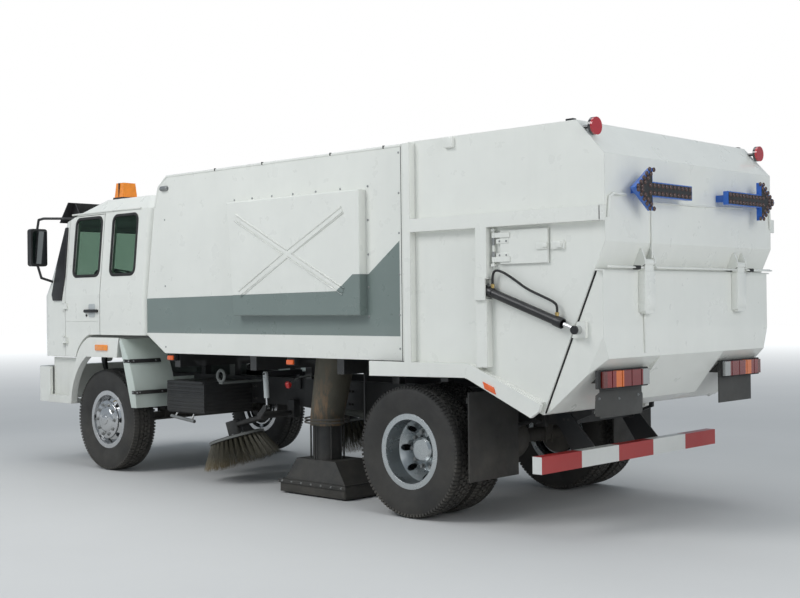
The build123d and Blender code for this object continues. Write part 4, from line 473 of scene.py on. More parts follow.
def make_glass():
    """Greenish window glass: mostly see-through, brighter where it is seen at a slant."""
    material = bpy.data.materials.new("window_glass")
    material.use_nodes = True
    tree = material.node_tree
    tree.nodes.clear()
    recipe = Recipe(tree)
    place = recipe.add("ShaderNodeTexCoord").outputs["Object"]
    film = recipe.spread(recipe.noise(place, 2.0, 4.0), 0.4, 0.7, 0.03, 0.10)
    tint = recipe.mix(recipe.noise(place, 1.5, 3.0), (0.66, 0.74, 0.69, 1), (0.56, 0.66, 0.60, 1))
    see_through = recipe.add("ShaderNodeBsdfTransparent", {"Color": tint})
    shine = recipe.add("ShaderNodeBsdfPrincipled", {
        "Base Color": recipe.mix(film, (0.03, 0.045, 0.04, 1), (0.20, 0.24, 0.22, 1)), "Roughness": film,
        "Specular IOR Level": 0.6})
    slant = recipe.add("ShaderNodeLayerWeight", {"Blend": 0.5}).outputs["Facing"]
    share = recipe.spread(recipe.math("POWER", slant, 3.0), 0.0, 1.0, 0.05, 0.9)
    both = recipe.add("ShaderNodeMixShader", {0: share, 1: see_through.outputs[0], 2: shine.outputs[0]})
    tree.links.new(both.outputs[0], recipe.add("ShaderNodeOutputMaterial").inputs[0])
    return material


PAINT["glass"] = make_glass()


def dress_frame():
    """Gives every node of the frame its finish."""
    by_slot = {
        "white_paint": "white", "dark_steel": "chassis", "grey_steel": "pale_grey", "cast_axle": "cast",
        "tyre": "rubber", "front_rim": "front_rim", "rear_rim": "rear_rim", "cab_glass": "glass",
        "chrome_rod": "chrome", "bristle": "bristle", "bar_red": "bar", "lamp_clear": "clear_lens",
        "lamp_red": "tail_lens", "lamp_amber": "amber", "black_rubber": "rubber", "tube_rubber": "tube",
        "seat_fabric": "cloth", "black_plastic": "plastic", "board_blue": "blue"}
    special = {
        "house_panels": "house", "house_shell": "house", "front_fender_left": "guard",
        "front_fender_right": "guard",
        "battery_box": "battery", "fuel_tank": "tank", "engines": "engine", "roof_lamps": "cap_lens",
        "gate_barrel_left": "barrel", "gate_barrel_right": "barrel", "tip_barrel": "barrel",
        "lamp_brackets": "plate_grey"}
    for part in frame["record"]["subparts"]:
        node = frame["nodes"][part["node"]]
        node.data.materials.clear()
        node.data.materials.append(PAINT[special.get(part["node"], by_slot[part["material_slot"]])])


dress_frame()


# Tools that make the pieces

class Piece:
    """A mesh of one finish on one body, put together from plain forms."""

    def __init__(self, name, body, paint, slot="white_paint"):
        self.name, self.body, self.paint, self.slot = name, body, paint, slot
        self.mesh = bmesh.new()

    def ring(self, points):
        return [self.mesh.verts.new(p) for p in points]

    def join(self, one, two, closed=True):
        """Faces between two rows of points, either of which may be a single point."""
        count = max(len(one), len(two))
        for i in range(count if closed else count - 1):
            j = (i + 1) % count
            corners = [one[i % len(one)], one[j % len(one)], two[j % len(two)], two[i % len(two)]]
            unique = list(dict.fromkeys(corners))
            if len(unique) > 2:
                self.mesh.faces.new(unique)

    def shell(self, rows, closed=True, ends=True):
        """Skin over a list of rows, closed at both ends."""
        made = [self.ring(row) for row in rows]
        for one, two in zip(made, made[1:]):
            self.join(one, two, closed)
        if ends:
            for row in (made[0], made[-1]):
                if len(row) > 2:
                    self.mesh.faces.new(row)
        return self

    def prism(self, outline, along, low, high):
        """Solid with a flat outline, between two places along x, y or z."""
        place = {"x": lambda a, b, c: at(c, a, b), "y": lambda a, b, c: at(a, c, b), "z": at}[along]
        return self.shell([[place(a, b, c) for a, b in outline] for c in (low, high)])

    def box(self, low, high):
        return self.prism([(low[0], low[1]), (high[0], low[1]), (high[0], high[1]), (low[0], high[1])],
                          "z", low[2], high[2])

    def turned(self, centre, axis, profile, sides=24, closed=False):
        """Form turned about an axis, from pairs of distance along it and radius."""
        axis = Vector(axis).normalized()
        across = axis.orthogonal().normalized()
        other = axis.cross(across)
        rows = []
        for distance, radius in profile:
            middle = centre + axis * distance
            if radius == 0:
                rows.append([middle])
            else:
                rows.append([middle + (across * cos(2 * pi * k / sides)
                                       + other * sin(2 * pi * k / sides)) * radius
                             for k in range(sides)])
        if not closed:
            return self.shell(rows)
        made = [self.ring(row) for row in rows]
        for one, two in zip(made, made[1:] + made[:1]):
            self.join(one, two)
        return self

    def pipe(self, points, radius, sides=10):
        """Round bar through points, mitred at each bend."""
        points = [Vector(p) for p in points]
        side = (points[1] - points[0]).orthogonal().normalized()
        rows = []
        for i, point in enumerate(points):
            before = (point - points[i - 1]).normalized() if i else (points[1] - point).normalized()
            after = (points[i + 1] - point).normalized() if i + 1 < len(points) else before
            ahead = (before + after).normalized()
            side = (side - ahead * side.dot(ahead)).normalized()
            other = ahead.cross(side)
            rows.append([point + (side * cos(2 * pi * k / sides) + other * sin(2 * pi * k / sides)) * radius
                         for k in range(sides)])
        return self.shell(rows)

    def rim_between(self, outer, inner, to_space, top, bottom):
        """Flat ring between two outlines with as many points, from one depth to another."""
        rows = [self.ring([to_space(a, b, depth) for a, b in outline])
                for outline, depth in ((outer, top), (inner, top), (inner, bottom), (outer, bottom))]
        for one, two in zip(rows, rows[1:] + rows[:1]):
            self.join(one, two)
        return self

    def done(self, soften=0.0, steps=2, smooth_angle=35, stands_for=()):
        bmesh.ops.remove_doubles(self.mesh, verts=self.mesh.verts, dist=0.00002)
        bmesh.ops.recalc_face_normals(self.mesh, faces=self.mesh.faces)
        data = bpy.data.meshes.new(self.name)
        self.mesh.to_mesh(data)
        self.mesh.free()
        thing = bpy.data.objects.new(self.name, data)
        scene.collection.objects.link(thing)
        if soften:
            edge = thing.modifiers.new("soft_edges", "BEVEL")
            edge.width, edge.segments, edge.limit_method = soften, steps, "ANGLE"
            edge.angle_limit = radians(28)
            data = bpy.data.meshes.new_from_object(thing.evaluated_get(bpy.context.evaluated_depsgraph_get()))
            thing.modifiers.clear()
            thing.data = data
        return hand_over(thing, self.body, self.paint, self.slot, smooth_angle, stands_for)


def hand_over(thing, body, paint, slot, smooth_angle=35, stands_for=()):
    """Finish, shading and body of a finished mesh."""
    thing.data.materials.clear()
    thing.data.materials.append(PAINT[paint])
    thing.data.shade_smooth()
    thing.data.set_sharp_from_angle(angle=radians(smooth_angle))
    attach(thing, body)
    if stands_for:
        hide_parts(*stands_for)
    return thing


def rounded(low_a, high_a, low_b, high_b, radius, steps=5):
    """Outline of a rectangle with round corners."""
    points = []
    for a, b, start in ((high_a, high_b, 0), (low_a, high_b, 90), (low_a, low_b, 180), (high_a, low_b, 270)):
        centre_a = a - radius if a == high_a else a + radius
        centre_b = b - radius if b == high_b else b + radius
        for k in range(steps + 1):
            turn = radians(start + 90 * k / steps)
            points.append((centre_a + radius * cos(turn), centre_b + radius * sin(turn)))
    return points


# Repeated small forms, set out by Geometry Nodes

class Repeater:
    """A Geometry Nodes tree that stands one form on many places, each turned by its own attributes."""

    def __init__(self, name, build_form):
        self.tree = bpy.data.node_groups.new(name, "GeometryNodeTree")
        face = self.tree.interface
        self.sockets = {}
        self.sockets["Places"] = face.new_socket("Places", in_out="INPUT", socket_type="NodeSocketGeometry")
        for label, value in (("Across", 0.02), ("Height", 0.01), ("Length", 0.02), ("Unevenness", 0.0)):
            socket = face.new_socket(label, in_out="INPUT", socket_type="NodeSocketFloat")
            socket.default_value = value
            self.sockets[label] = socket
        self.sockets["Seed"] = face.new_socket("Seed", in_out="INPUT", socket_type="NodeSocketInt")
        self.sockets["Finish"] = face.new_socket("Finish", in_out="INPUT", socket_type="NodeSocketMaterial")
        face.new_socket("Pieces", in_out="OUTPUT", socket_type="NodeSocketGeometry")
        recipe = Recipe(self.tree)
        given = recipe.add("NodeGroupInput")
        form = build_form(recipe, given.outputs["Across"], given.outputs["Height"], given.outputs["Length"])
        facing = recipe.add("GeometryNodeInputNamedAttribute", {"Name": "facing"},
                            data_type="FLOAT_VECTOR").outputs[0]
        along = recipe.add("GeometryNodeInputNamedAttribute", {"Name": "along"},
                           data_type="FLOAT_VECTOR").outputs[0]
        upright = recipe.add("FunctionNodeAlignRotationToVector", {"Vector": facing}, axis="Z").outputs[0]
        turned = recipe.add("FunctionNodeAlignRotationToVector", {"Rotation": upright, "Vector": along},
                            axis="X", pivot_axis="Z").outputs[0]
        spread = recipe.add("ShaderNodeMath", {0: 1.0, 1: given.outputs["Unevenness"]},
                            operation="SUBTRACT").outputs[0]
        size = recipe.add("FunctionNodeRandomValue", {2: spread, 3: 1.0, "Seed": given.outputs["Seed"]},
                          data_type="FLOAT").outputs[1]
        standing = recipe.add("GeometryNodeInstanceOnPoints",
                              {"Points": given.outputs["Places"], "Instance": form,
                               "Rotation": turned, "Scale": size}).outputs[0]
        real = recipe.add("GeometryNodeRealizeInstances", {0: standing}).outputs[0]
        painted = recipe.add("GeometryNodeSetMaterial",
                             {"Geometry": real, "Material": given.outputs["Finish"]})
        result = recipe.add("NodeGroupOutput")
        self.tree.links.new(painted.outputs[0], result.inputs[0])

    def place(self, name, body, paint, slot, places, across, height, length=0.02, unevenness=0.0, seed=1,
              smooth_angle=35, stands_for=()):
        """One plain mesh of all the forms. places holds a point, the way it faces and the way it runs."""
        data = bpy.data.meshes.new(name + "_places")
        data.from_pydata([tuple(p[0]) for p in places], [], [])
        for key, index in (("facing", 1), ("along", 2)):
            layer = data.attributes.new(key, "FLOAT_VECTOR", "POINT")
            layer.data.foreach_set("vector", [c for p in places for c in Vector(p[index]).normalized()])
        thing = bpy.data.objects.new(name, data)
        scene.collection.objects.link(thing)
        modifier = thing.modifiers.new("repeat", "NODES")
        modifier.node_group = self.tree
        for label, value in (("Across", across), ("Height", height), ("Length", length),
                             ("Unevenness", unevenness), ("Seed", seed), ("Finish", PAINT[paint])):
            modifier[self.sockets[label].identifier] = value
        thing.update_tag()
        made = bpy.data.meshes.new_from_object(thing.evaluated_get(bpy.context.evaluated_depsgraph_get()))
        thing.modifiers.remove(modifier)
        thing.data = made
        return hand_over(thing, body, paint, slot, smooth_angle, stands_for)


def hex_head(recipe, across, height, length):
    """Bolt head on a thin washer."""
    radius = recipe.add("ShaderNodeMath", {0: across, 1: 0.5}, operation="MULTIPLY").outputs[0]
    wide = recipe.add("ShaderNodeMath", {0: across, 1: 0.68}, operation="MULTIPLY").outputs[0]
    thin = recipe.add("ShaderNodeMath", {0: height, 1: 0.25}, operation="MULTIPLY").outputs[0]
    head = recipe.add("GeometryNodeMeshCylinder",
                      {"Vertices": 6, "Radius": radius, "Depth": height}).outputs[0]
    lift = recipe.add("ShaderNodeCombineXYZ", {2: recipe.add("ShaderNodeMath", {0: height, 1: 0.5},
                                                             operation="MULTIPLY").outputs[0]}).outputs[0]
    raised = recipe.add("GeometryNodeTransform", {"Geometry": head, "Translation": lift}).outputs[0]
    washer = recipe.add("GeometryNodeMeshCylinder",
                        {"Vertices": 14, "Radius": wide, "Depth": thin}).outputs[0]
    both = recipe.add("GeometryNodeJoinGeometry")
    recipe.tree.links.new(raised, both.inputs[0])
    recipe.tree.links.new(washer, both.inputs[0])
    return both.outputs[0]


def dome(recipe, across, height, length):
    """Round cap, half of it under the surface."""
    radius = recipe.add("ShaderNodeMath", {0: across, 1: 0.5}, operation="MULTIPLY").outputs[0]
    ball = recipe.add("GeometryNodeMeshUVSphere", {"Segments": 10, "Rings": 6, "Radius": radius}).outputs[0]
    flat = recipe.add("ShaderNodeMath", {0: height, 1: radius}, operation="DIVIDE").outputs[0]
    shape = recipe.add("ShaderNodeCombineXYZ", {0: 1.0, 1: 1.0, 2: flat}).outputs[0]
    return recipe.add("GeometryNodeTransform", {"Geometry": ball, "Scale": shape}).outputs[0]


def strand(recipe, across, height, length):
    """Thin three-sided bristle that narrows to its tip."""
    radius = recipe.add("ShaderNodeMath", {0: across, 1: 0.5}, operation="MULTIPLY").outputs[0]
    tip = recipe.add("ShaderNodeMath", {0: across, 1: 0.16}, operation="MULTIPLY").outputs[0]
    return recipe.add("GeometryNodeMeshCone", {"Vertices": 3, "Radius Top": tip, "Radius Bottom": radius,
                                               "Depth": height}).outputs[0]


def block(recipe, across, height, length):
    """Square block, half of it under the surface."""
    size = recipe.add("ShaderNodeCombineXYZ", {0: length, 1: across, 2: height}).outputs[0]
    return recipe.add("GeometryNodeMeshCube", {"Size": size}).outputs[0]


BOLTS = Repeater("bolt_heads", hex_head)
DOMES = Repeater("round_caps", dome)
STRANDS = Repeater("bristles", strand)
BLOCKS = Repeater("square_blocks", block)

OUTWARD = {1: Vector((0, 1, 0)), -1: Vector((0, -1, 0))}
REARWARD = Vector((-1, 0, 0))
FORWARD = Vector((1, 0, 0))
UPWARD = Vector((0, 0, 1))


def spoke(turn):
    """Direction from a wheel's centre, in the plane of the wheel."""
    return Vector((cos(turn), 0, sin(turn)))


# Tyres

TYRE_HALF = [(0.094, 0.2545), (0.101, 0.262), (0.103, 0.285), (0.108, 0.300), (0.1165, 0.330),
             (0.1225, 0.362),
             (0.1248, 0.395), (0.1245, 0.425), (0.1215, 0.452), (0.117, 0.470), (0.112, 0.484),
             (0.104, 0.492), (0.082, 0.4945)]
TYRE_GROOVES = [(0.070, 0.4945), (0.066, 0.486), (0.060, 0.486), (0.056, 0.4955), (0.020, 0.4955),
                (0.016, 0.486), (0.012, 0.486), (0.008, 0.4955)]
TYRE_LINING = [(0.084, 0.262), (0.092, 0.300), (0.105, 0.362), (0.105, 0.430), (0.088, 0.468)]
TREAD_HEIGHT = 0.018
SHOULDER_LUGS = 96
RIB_BLOCKS = 64


def mirrored_half(half):
    """A half section from its edge to the middle, and back on the other side."""
    return half + [(-a, r) for a, r in reversed(half)]


TYRE_SECTION = mirrored_half(TYRE_HALF + TYRE_GROOVES) + [(-a, r) for a, r in TYRE_LINING] + TYRE_LINING[::-1]


def tread_places(hub):
    """Where the tread blocks of one tyre stand: three ribs in zigzag and a row of lugs on each shoulder."""
    ribs, lugs = [], []
    for row, across in enumerate((-0.038, 0.0, 0.038)):
        for k in range(RIB_BLOCKS):
            turn = 2 * pi * (k + 0.5 * (row % 2)) / RIB_BLOCKS
            away = spoke(turn)
            tangent = away.cross(OUTWARD[1])
            slant = tangent + OUTWARD[1] * (0.32 if k % 2 else -0.32)
            ribs.append((hub + away * 0.4955 + OUTWARD[1] * across, away, slant))
    for side in (-1, 1):
        for k in range(SHOULDER_LUGS):
            away = spoke(2 * pi * (k + 0.25 * side) / SHOULDER_LUGS)
            tilted = away + OUTWARD[side] * 0.22
            lugs.append((hub + away * 0.4835 + OUTWARD[side] * 0.0965, tilted, away.cross(OUTWARD[1])))
    return ribs, lugs


def make_tyres():
    for name, side in SIDES:
        for node, body, x, tracks in ((f"tyre_front_{name}", f"wheel_front_{name}", FRONT_AXLE,
                                       (FRONT_TRACK,)),
                                      (f"tyres_rear_{name}", f"wheels_rear_{name}", 0.0, REAR_TRACKS)):
            paint = "front_tyre" if x else "rear_tyre"
            carcass = Piece(f"{node}_carcass", body, paint, "tyre")
            ribs, lugs = [], []
            for track in tracks:
                hub = at(x, side * track, AXLE_HEIGHT)
                carcass.turned(hub, OUTWARD[1], TYRE_SECTION, 96, closed=True)
                on_ribs, on_shoulders = tread_places(hub)
                ribs += on_ribs
                lugs += on_shoulders
            carcass.done(smooth_angle=40, stands_for=[node])
            BLOCKS.place(f"{node}_rib_blocks", body, "rubber", "tyre", ribs, 0.030, TREAD_HEIGHT, 0.036)
            BLOCKS.place(f"{node}_shoulder_lugs", body, "rubber", "tyre", lugs, 0.044, 0.030, 0.019)


# Wheels

HUB_COVER = [(0.105, 0.192), (0.117, 0.188), (0.123, 0.176), (0.123, 0.125), (0.131, 0.118), (0.139, 0.100),
             (0.141, 0)]
NUT_COUNT = 10


def make_wheel_details():
    for name, side in SIDES:
        out = OUTWARD[side]
        hub = at(FRONT_AXLE, side * FRONT_TRACK, AXLE_HEIGHT)
        cover = Piece(f"hub_cover_{name}", f"wheel_front_{name}", "front_rim", "front_rim")
        cover.turned(hub, out, HUB_COVER, 48)
        cover.turned(hub, out, [(0.140, 0.050), (0.150, 0.046), (0.154, 0.030), (0.155, 0)], 24)
        cover.done(soften=0.002)
        turns = [2 * pi * k / NUT_COUNT for k in range(NUT_COUNT)]
        BOLTS.place(f"front_wheel_nuts_{name}", f"wheel_front_{name}", "steel", "grey_steel",
                    [(hub + out * 0.123 + spoke(t) * 0.150, out, spoke(t)) for t in turns], 0.027, 0.020)
        face = at(0, side * 0.982, AXLE_HEIGHT)
        BOLTS.place(f"rear_wheel_nuts_{name}", f"wheels_rear_{name}", "steel", "grey_steel",
                    [(face + spoke(t) * 0.140, out, spoke(t)) for t in turns], 0.032, 0.026)
        flange = at(0, side * 1.010, AXLE_HEIGHT)
        BOLTS.place(f"rear_flange_bolts_{name}", f"wheels_rear_{name}", "cast", "dark_steel",
                    [(flange + spoke(pi * k / 4) * 0.075, out, spoke(pi * k / 4)) for k in range(8)], 0.020,
                    0.014)
        valve = Piece(f"tyre_valves_{name}", f"wheel_front_{name}", "brass", "grey_steel")
        foot = hub + out * 0.075 + spoke(2.2) * 0.238
        valve.pipe([foot, foot + out * 0.035, foot + out * 0.052 - spoke(2.2) * 0.012], 0.005, 8)
        valve.done()


# Cab

CAB_SIDE = [(1.0, 1.150), (1.75, 1.150), (1.90, 1.136), (2.52, 1.078), (2.58, 1.070), (2.72, 0.930)]
CAB_FACE = [(1.0, 5.38), (1.75, 5.38), (1.90, 5.30), (2.52, 5.05), (2.58, 4.85)]
WINDOW_LOW, WINDOW_TOP = 1.955, 2.525
DOOR_WINDOW = (4.290, 4.745)
SIDE_WINDOW = (3.675, 4.075)
SCREEN_HALF, SCREEN_TOP = 0.90, 2.44


def along_table(table, z):
    """Straight line between the rows of a table of heights."""
    for (z0, v0), (z1, v1) in zip(table, table[1:]):
        if z <= z1:
            return v0 + (v1 - v0) * (z - z0) / (z1 - z0)
    return table[-1][1]


def on_side(side):
    return lambda x, z, depth: at(x, side * (along_table(CAB_SIDE, z) + depth), z)


def on_face(y, z, depth):
    return at(along_table(CAB_FACE, z) + depth, y, z)


def gasket(piece, low_a, high_a, low_b, high_b, to_space, wide=0.024, lap=0.006):
    """Rubber frame round an opening: a flat band with a raised lip at its middle."""
    edges = [rounded(low_a - grow, high_a + grow, low_b - grow, high_b + grow, 0.055 + grow, 6)
             for grow in (wide, wide * 0.45, -lap * 0.2, -lap)]
    heights = (0.0035, 0.0085, 0.0075, 0.0015)
    rows = [piece.ring([to_space(a, b, h) for a, b in edge]) for edge, h in zip(edges, heights)]
    rows += [piece.ring([to_space(a, b, -0.006) for a, b in edge]) for edge in (edges[3], edges[0])]
    for one, two in zip(rows, rows[1:] + rows[:1]):
        piece.join(one, two)


def make_cab_rubber():
    frames = Piece("cab_window_gaskets", "cab", "rubber", "black_rubber")
    for _, side in SIDES:
        gasket(frames, *SIDE_WINDOW, WINDOW_LOW, WINDOW_TOP, on_side(side))
    gasket(frames, -SCREEN_HALF, SCREEN_HALF, WINDOW_LOW, SCREEN_TOP, on_face, 0.030)
    frames.done(smooth_angle=50)
    for name, side in SIDES:
        frame_of_door = Piece(f"door_window_gasket_{name}", f"cab_door_{name}", "rubber", "black_rubber")
        gasket(frame_of_door, *DOOR_WINDOW, WINDOW_LOW, WINDOW_TOP, on_side(side))
        frame_of_door.done(smooth_angle=50)


CORNER_VANE = [(4.900, 2.46), (4.892, 1.95), (4.935, 1.70), (5.095, 1.70), (5.120, 1.76), (5.055, 2.11),
               (4.945, 2.46)]


def make_cab_trim():
    """Vanes, gutters, nose and wipers of the cab, and the indicators and straps of its fenders."""
    vanes = Piece("cab_corner_vanes", "cab", "plastic", "black_plastic")
    gutters = Piece("cab_gutters", "cab", "white")
    for _, side in SIDES:
        space = on_side(side)
        heights = []
        for depth in (0.001, 0.018):
            heights.append([space(x, z, depth) for x, z in CORNER_VANE])
        vanes.shell(heights)
        line = [(3.62, 2.585), (4.0, 2.588), (4.4, 2.588), (4.84, 2.585)]
        gutters.pipe([at(x, side * 1.074, z) for x, z in line], 0.009, 8)
    vanes.done(soften=0.006, steps=3)
    gutters.done()
    nose = Piece("nose_panel_edge", "cab", "rubber", "black_rubber")
    outer = rounded(-1.045, 1.045, 1.144, 1.753, 0.05)
    inner = rounded(-1.037, 1.037, 1.152, 1.745, 0.045)
    nose.rim_between(outer, inner, lambda y, z, depth: at(5.38 + depth, y, z), 0.0015, -0.004)
    nose.done()
    louvres = Piece("nose_louvres", "cab", "plastic", "black_plastic")
    for z in (1.235, 1.290, 1.345, 1.400):
        louvres.shell([[at(5.372, side * 0.62, z - 0.014), at(5.372, side * 0.62, z + 0.014),
                        at(5.384, side * 0.62, z + 0.010), at(5.392, side * 0.62, z - 0.012)]
                       for side in (-1, 1)])
    louvres.done(soften=0.002)
    wipers = Piece("screen_wipers", "cab", "plastic", "black_plastic")
    for y in (-0.42, 0.42):
        foot = on_face(y, 1.915, 0.012)
        tip = on_face(y - 0.33, 2.02, 0.022)
        wipers.turned(foot, (1, 0, 0.35), [(-0.012, 0.018), (0.012, 0.016), (0.016, 0)], 12)
        wipers.pipe([foot, (foot + tip) / 2 + Vector((0.012, 0, 0.004)), tip], 0.006, 8)
        blade = [on_face(y - 0.33 + along, 2.02 + 0.12 * along, 0.012) for along in (-0.27, -0.1, 0.1, 0.27)]
        wipers.pipe(blade, 0.008, 6)
    wipers.done()
    indicators = Piece("fender_indicators", "chassis", "amber", "lamp_amber")
    straps = Piece("guard_straps", "chassis", "rubber")
    strap_bolts = []
    for _, side in SIDES:
        indicators.prism(rounded(4.082, 4.294, 1.196, 1.254, 0.012), "y", side * 1.163, side * 1.180)
        for z in (1.100, 0.800):
            edge = 3.76 if z > 1 else 3.62
            straps.prism(rounded(edge - 0.060, edge + 0.050, z - 0.016, z + 0.016, 0.008), "y", side * 1.160,
                         side * 1.168)
            strap_bolts += [(at(edge + dx, side * 1.168, z), OUTWARD[side], UPWARD) for dx in (-0.042, 0.032)]
        for x, z, lean in ((3.719, 1.100, 0.009), (3.615, 0.800, 0.004)):
            outline = [(x - lean - 0.012, z - 0.018), (x - lean + 0.004, z - 0.018),
                       (x + lean + 0.004, z + 0.018), (x + lean - 0.012, z + 0.018)]
            straps.prism(outline, "y", side * 0.800, side * 1.150)
            strap_bolts += [(at(x - 0.012, side * y, z), REARWARD, UPWARD) for y in (0.860, 1.120)]
    indicators.done(soften=0.004)
    straps.done(soften=0.001)
    BOLTS.place("guard_strap_bolts", "chassis", "steel", "grey_steel", strap_bolts, 0.014, 0.007)


def make_door_trim():
    for name, side in SIDES:
        body = f"cab_door_{name}"
        plate = Piece(f"door_handle_plate_{name}", body, "pale_grey", "grey_steel")
        plate.prism(rounded(4.322, 4.438, 1.527, 1.662, 0.020), "y", side * 1.146, side * 1.153)
        plate.done(soften=0.001)
        grip = Piece(f"door_handle_{name}", body, "plastic", "black_plastic")
        grip.prism(rounded(4.262, 4.499, 1.574, 1.606, 0.014), "y", side * 1.158, side * 1.176)
        for x in (4.285, 4.476):
            grip.prism(rounded(x - 0.018, x + 0.018, 1.577, 1.603, 0.008), "y", side * 1.147, side * 1.166)
        grip.turned(at(4.476, side * 1.150, 1.545), OUTWARD[side],
                    [(-0.004, 0.013), (0.007, 0.013), (0.009, 0.008),
                     (0.009, 0)], 16)
        grip.done(soften=0.004)
        crease = Piece(f"door_crease_{name}", body, "white")
        crease.pipe([at(4.262, side * 1.1492, 1.488), at(4.855, side * 1.1492, 1.488)], 0.0045, 8)
        crease.done()


MIRROR_BACK = 5.18


def make_mirror_glass():
    faces = Piece("mirror_glass", "cab", "mirror", "chrome_rod")
    for _, side in SIDES:
        face = rounded(1.205, 1.365, 2.085, 2.425, 0.028, 6)
        outline = [(side * y, z) for y, z in face]
        faces.prism(outline, "x", MIRROR_BACK - 0.047, MIRROR_BACK - 0.0435)
    faces.done()


def make_beacons():
    """The amber covers are the frame's own, so only a dark tray and a middle bar are added to each."""
    trays = Piece("beacon_trays", "cab", "plastic", "black_plastic")
    for side in (-1, 1):
        trays.prism(rounded(4.280 - 0.092, 4.280 + 0.092, side * 0.8 - 0.102, side * 0.8 + 0.102, 0.02), "z",
                    2.7195, 2.742)
        trays.prism(rounded(4.280 - 0.006, 4.280 + 0.006, side * 0.8 - 0.088, side * 0.8 + 0.088, 0.003), "z",
                    2.742, 2.8895)
    trays.done(soften=0.004)


# Engine house

ROOF_EDGE = ((0.085, 2.842), (3.106, 2.842), (3.229, 2.752), (3.288, 2.567))
RIB_ENDS = ((1.995, 2.390), (0.655, 2.380), (0.655, 1.730), (1.940, 1.730))
RIB_MIDDLE = (1.319, 2.054)
RIB_HALF = 0.028


def make_rib_beads():
    """Raised beads on the edges of the crossed ribs: one bent bead in each corner between them."""
    beads = Piece("crossed_rib_beads", "chassis", "house")
    middle = Vector(RIB_MIDDLE)
    for _, side in SIDES:
        for k, end in enumerate(RIB_ENDS):
            here, there = Vector(end), Vector(RIB_ENDS[(k + 1) % 4])
            first, second = (here - middle).normalized(), (there - middle).normalized()
            turn = first.x * second.y - first.y * second.x
            corner = middle + (first + second) * (RIB_HALF / abs(turn))
            route = (here + Vector((-first.y, first.x)) * RIB_HALF, corner,
                     there + Vector((second.y, -second.x)) * RIB_HALF)
            beads.pipe([at(x, side * 1.2305, z) for x, z in route], 0.007, 8)
    beads.done()


def make_house_details():
    screws = [(3.135, 2.439), (3.135, 1.819), (3.135, 1.249)]
    screws += [(0.115, z) for z in (2.790, 2.479, 2.172, 1.853, 1.542, 1.283)]
    DOMES.place("house_screws", "chassis", "steel", "grey_steel",
                [(at(x, side * HOUSE_SIDE, z), OUTWARD[side], UPWARD) for x, z in screws
                 for _, side in SIDES], 0.018, 0.004)
    latches = Piece("house_latches", "chassis", "steel", "grey_steel")
    markers = Piece("side_markers", "chassis", "orange", "lamp_amber")
    carriers = Piece("marker_brackets", "chassis", "chassis", "dark_steel")
    for _, side in SIDES:
        latches.turned(at(3.083, side * 1.158, 2.732), (1, 0, 0),
                       [(0, 0), (0, 0.020), (0.004, 0.024), (0.086, 0.024),
                        (0.090, 0.020), (0.090, 0)], 18)
        latches.prism(rounded(3.070, 3.186, 2.716, 2.748, 0.008), "y", side * 1.149, side * 1.153)
        for x in (3.081, 1.402):
            markers.prism(rounded(x - 0.042, x + 0.042, 1.128, 1.168, 0.008), "y", side * 1.128, side * 1.146)
            carriers.box((x - 0.050, min(side * 1.085, side * 1.128), 1.120),
                         (x + 0.050, max(side * 1.085, side * 1.128), 1.192))
    latches.done(soften=0.001)
    markers.done(soften=0.003)
    carriers.done(soften=0.002)
    around_box = [(x, 2.556) for x in (2.100, 1.860, 1.600, 1.330, 1.050, 0.760, 0.450)]
    around_box += [(0.450, z) for z in (2.290, 2.020, 1.760, 1.530)]
    DOMES.place("pressed_box_screws", "chassis", "steel", "grey_steel",
                [(at(x, side * HOUSE_SIDE, z), OUTWARD[side], UPWARD) for x, z in around_box
                 for _, side in SIDES],
                0.020, 0.005)
    edges = Piece("house_roof_beads", "chassis", "house")
    clips = Piece("house_roof_clips", "chassis", "rubber", "black_rubber")
    for _, side in SIDES:
        edges.pipe([at(x, side * 1.143, z) for x, z in ROOF_EDGE], 0.013, 10)
        for x in (2.370, 1.720, 0.870, 0.270):
            clips.prism(rounded(x - 0.006, x + 0.006, 2.834, 2.8585, 0.003), "y", side * 1.140, side * 1.158)
    edges.done()
    clips.done(soften=0.001)
    seams = Piece("house_panel_seams", "chassis", "rubber", "black_rubber")
    for _, side in SIDES:
        seams.prism([(0.088, 1.192), (0.094, 1.192), (0.094, 2.848), (0.088, 2.848)], "y", side * 1.138,
                    side * 1.1508)
    seams.done()


# Hopper

def make_roof_edge_box():
    boxes = Piece("hopper_roof_edge_boxes", "hopper", "white")
    for _, side in SIDES:
        boxes.prism(rounded(-0.474, -0.388, 2.771, 2.8525, 0.010), "y", side * 1.120, side * 1.200)
    boxes.done(soften=0.003)


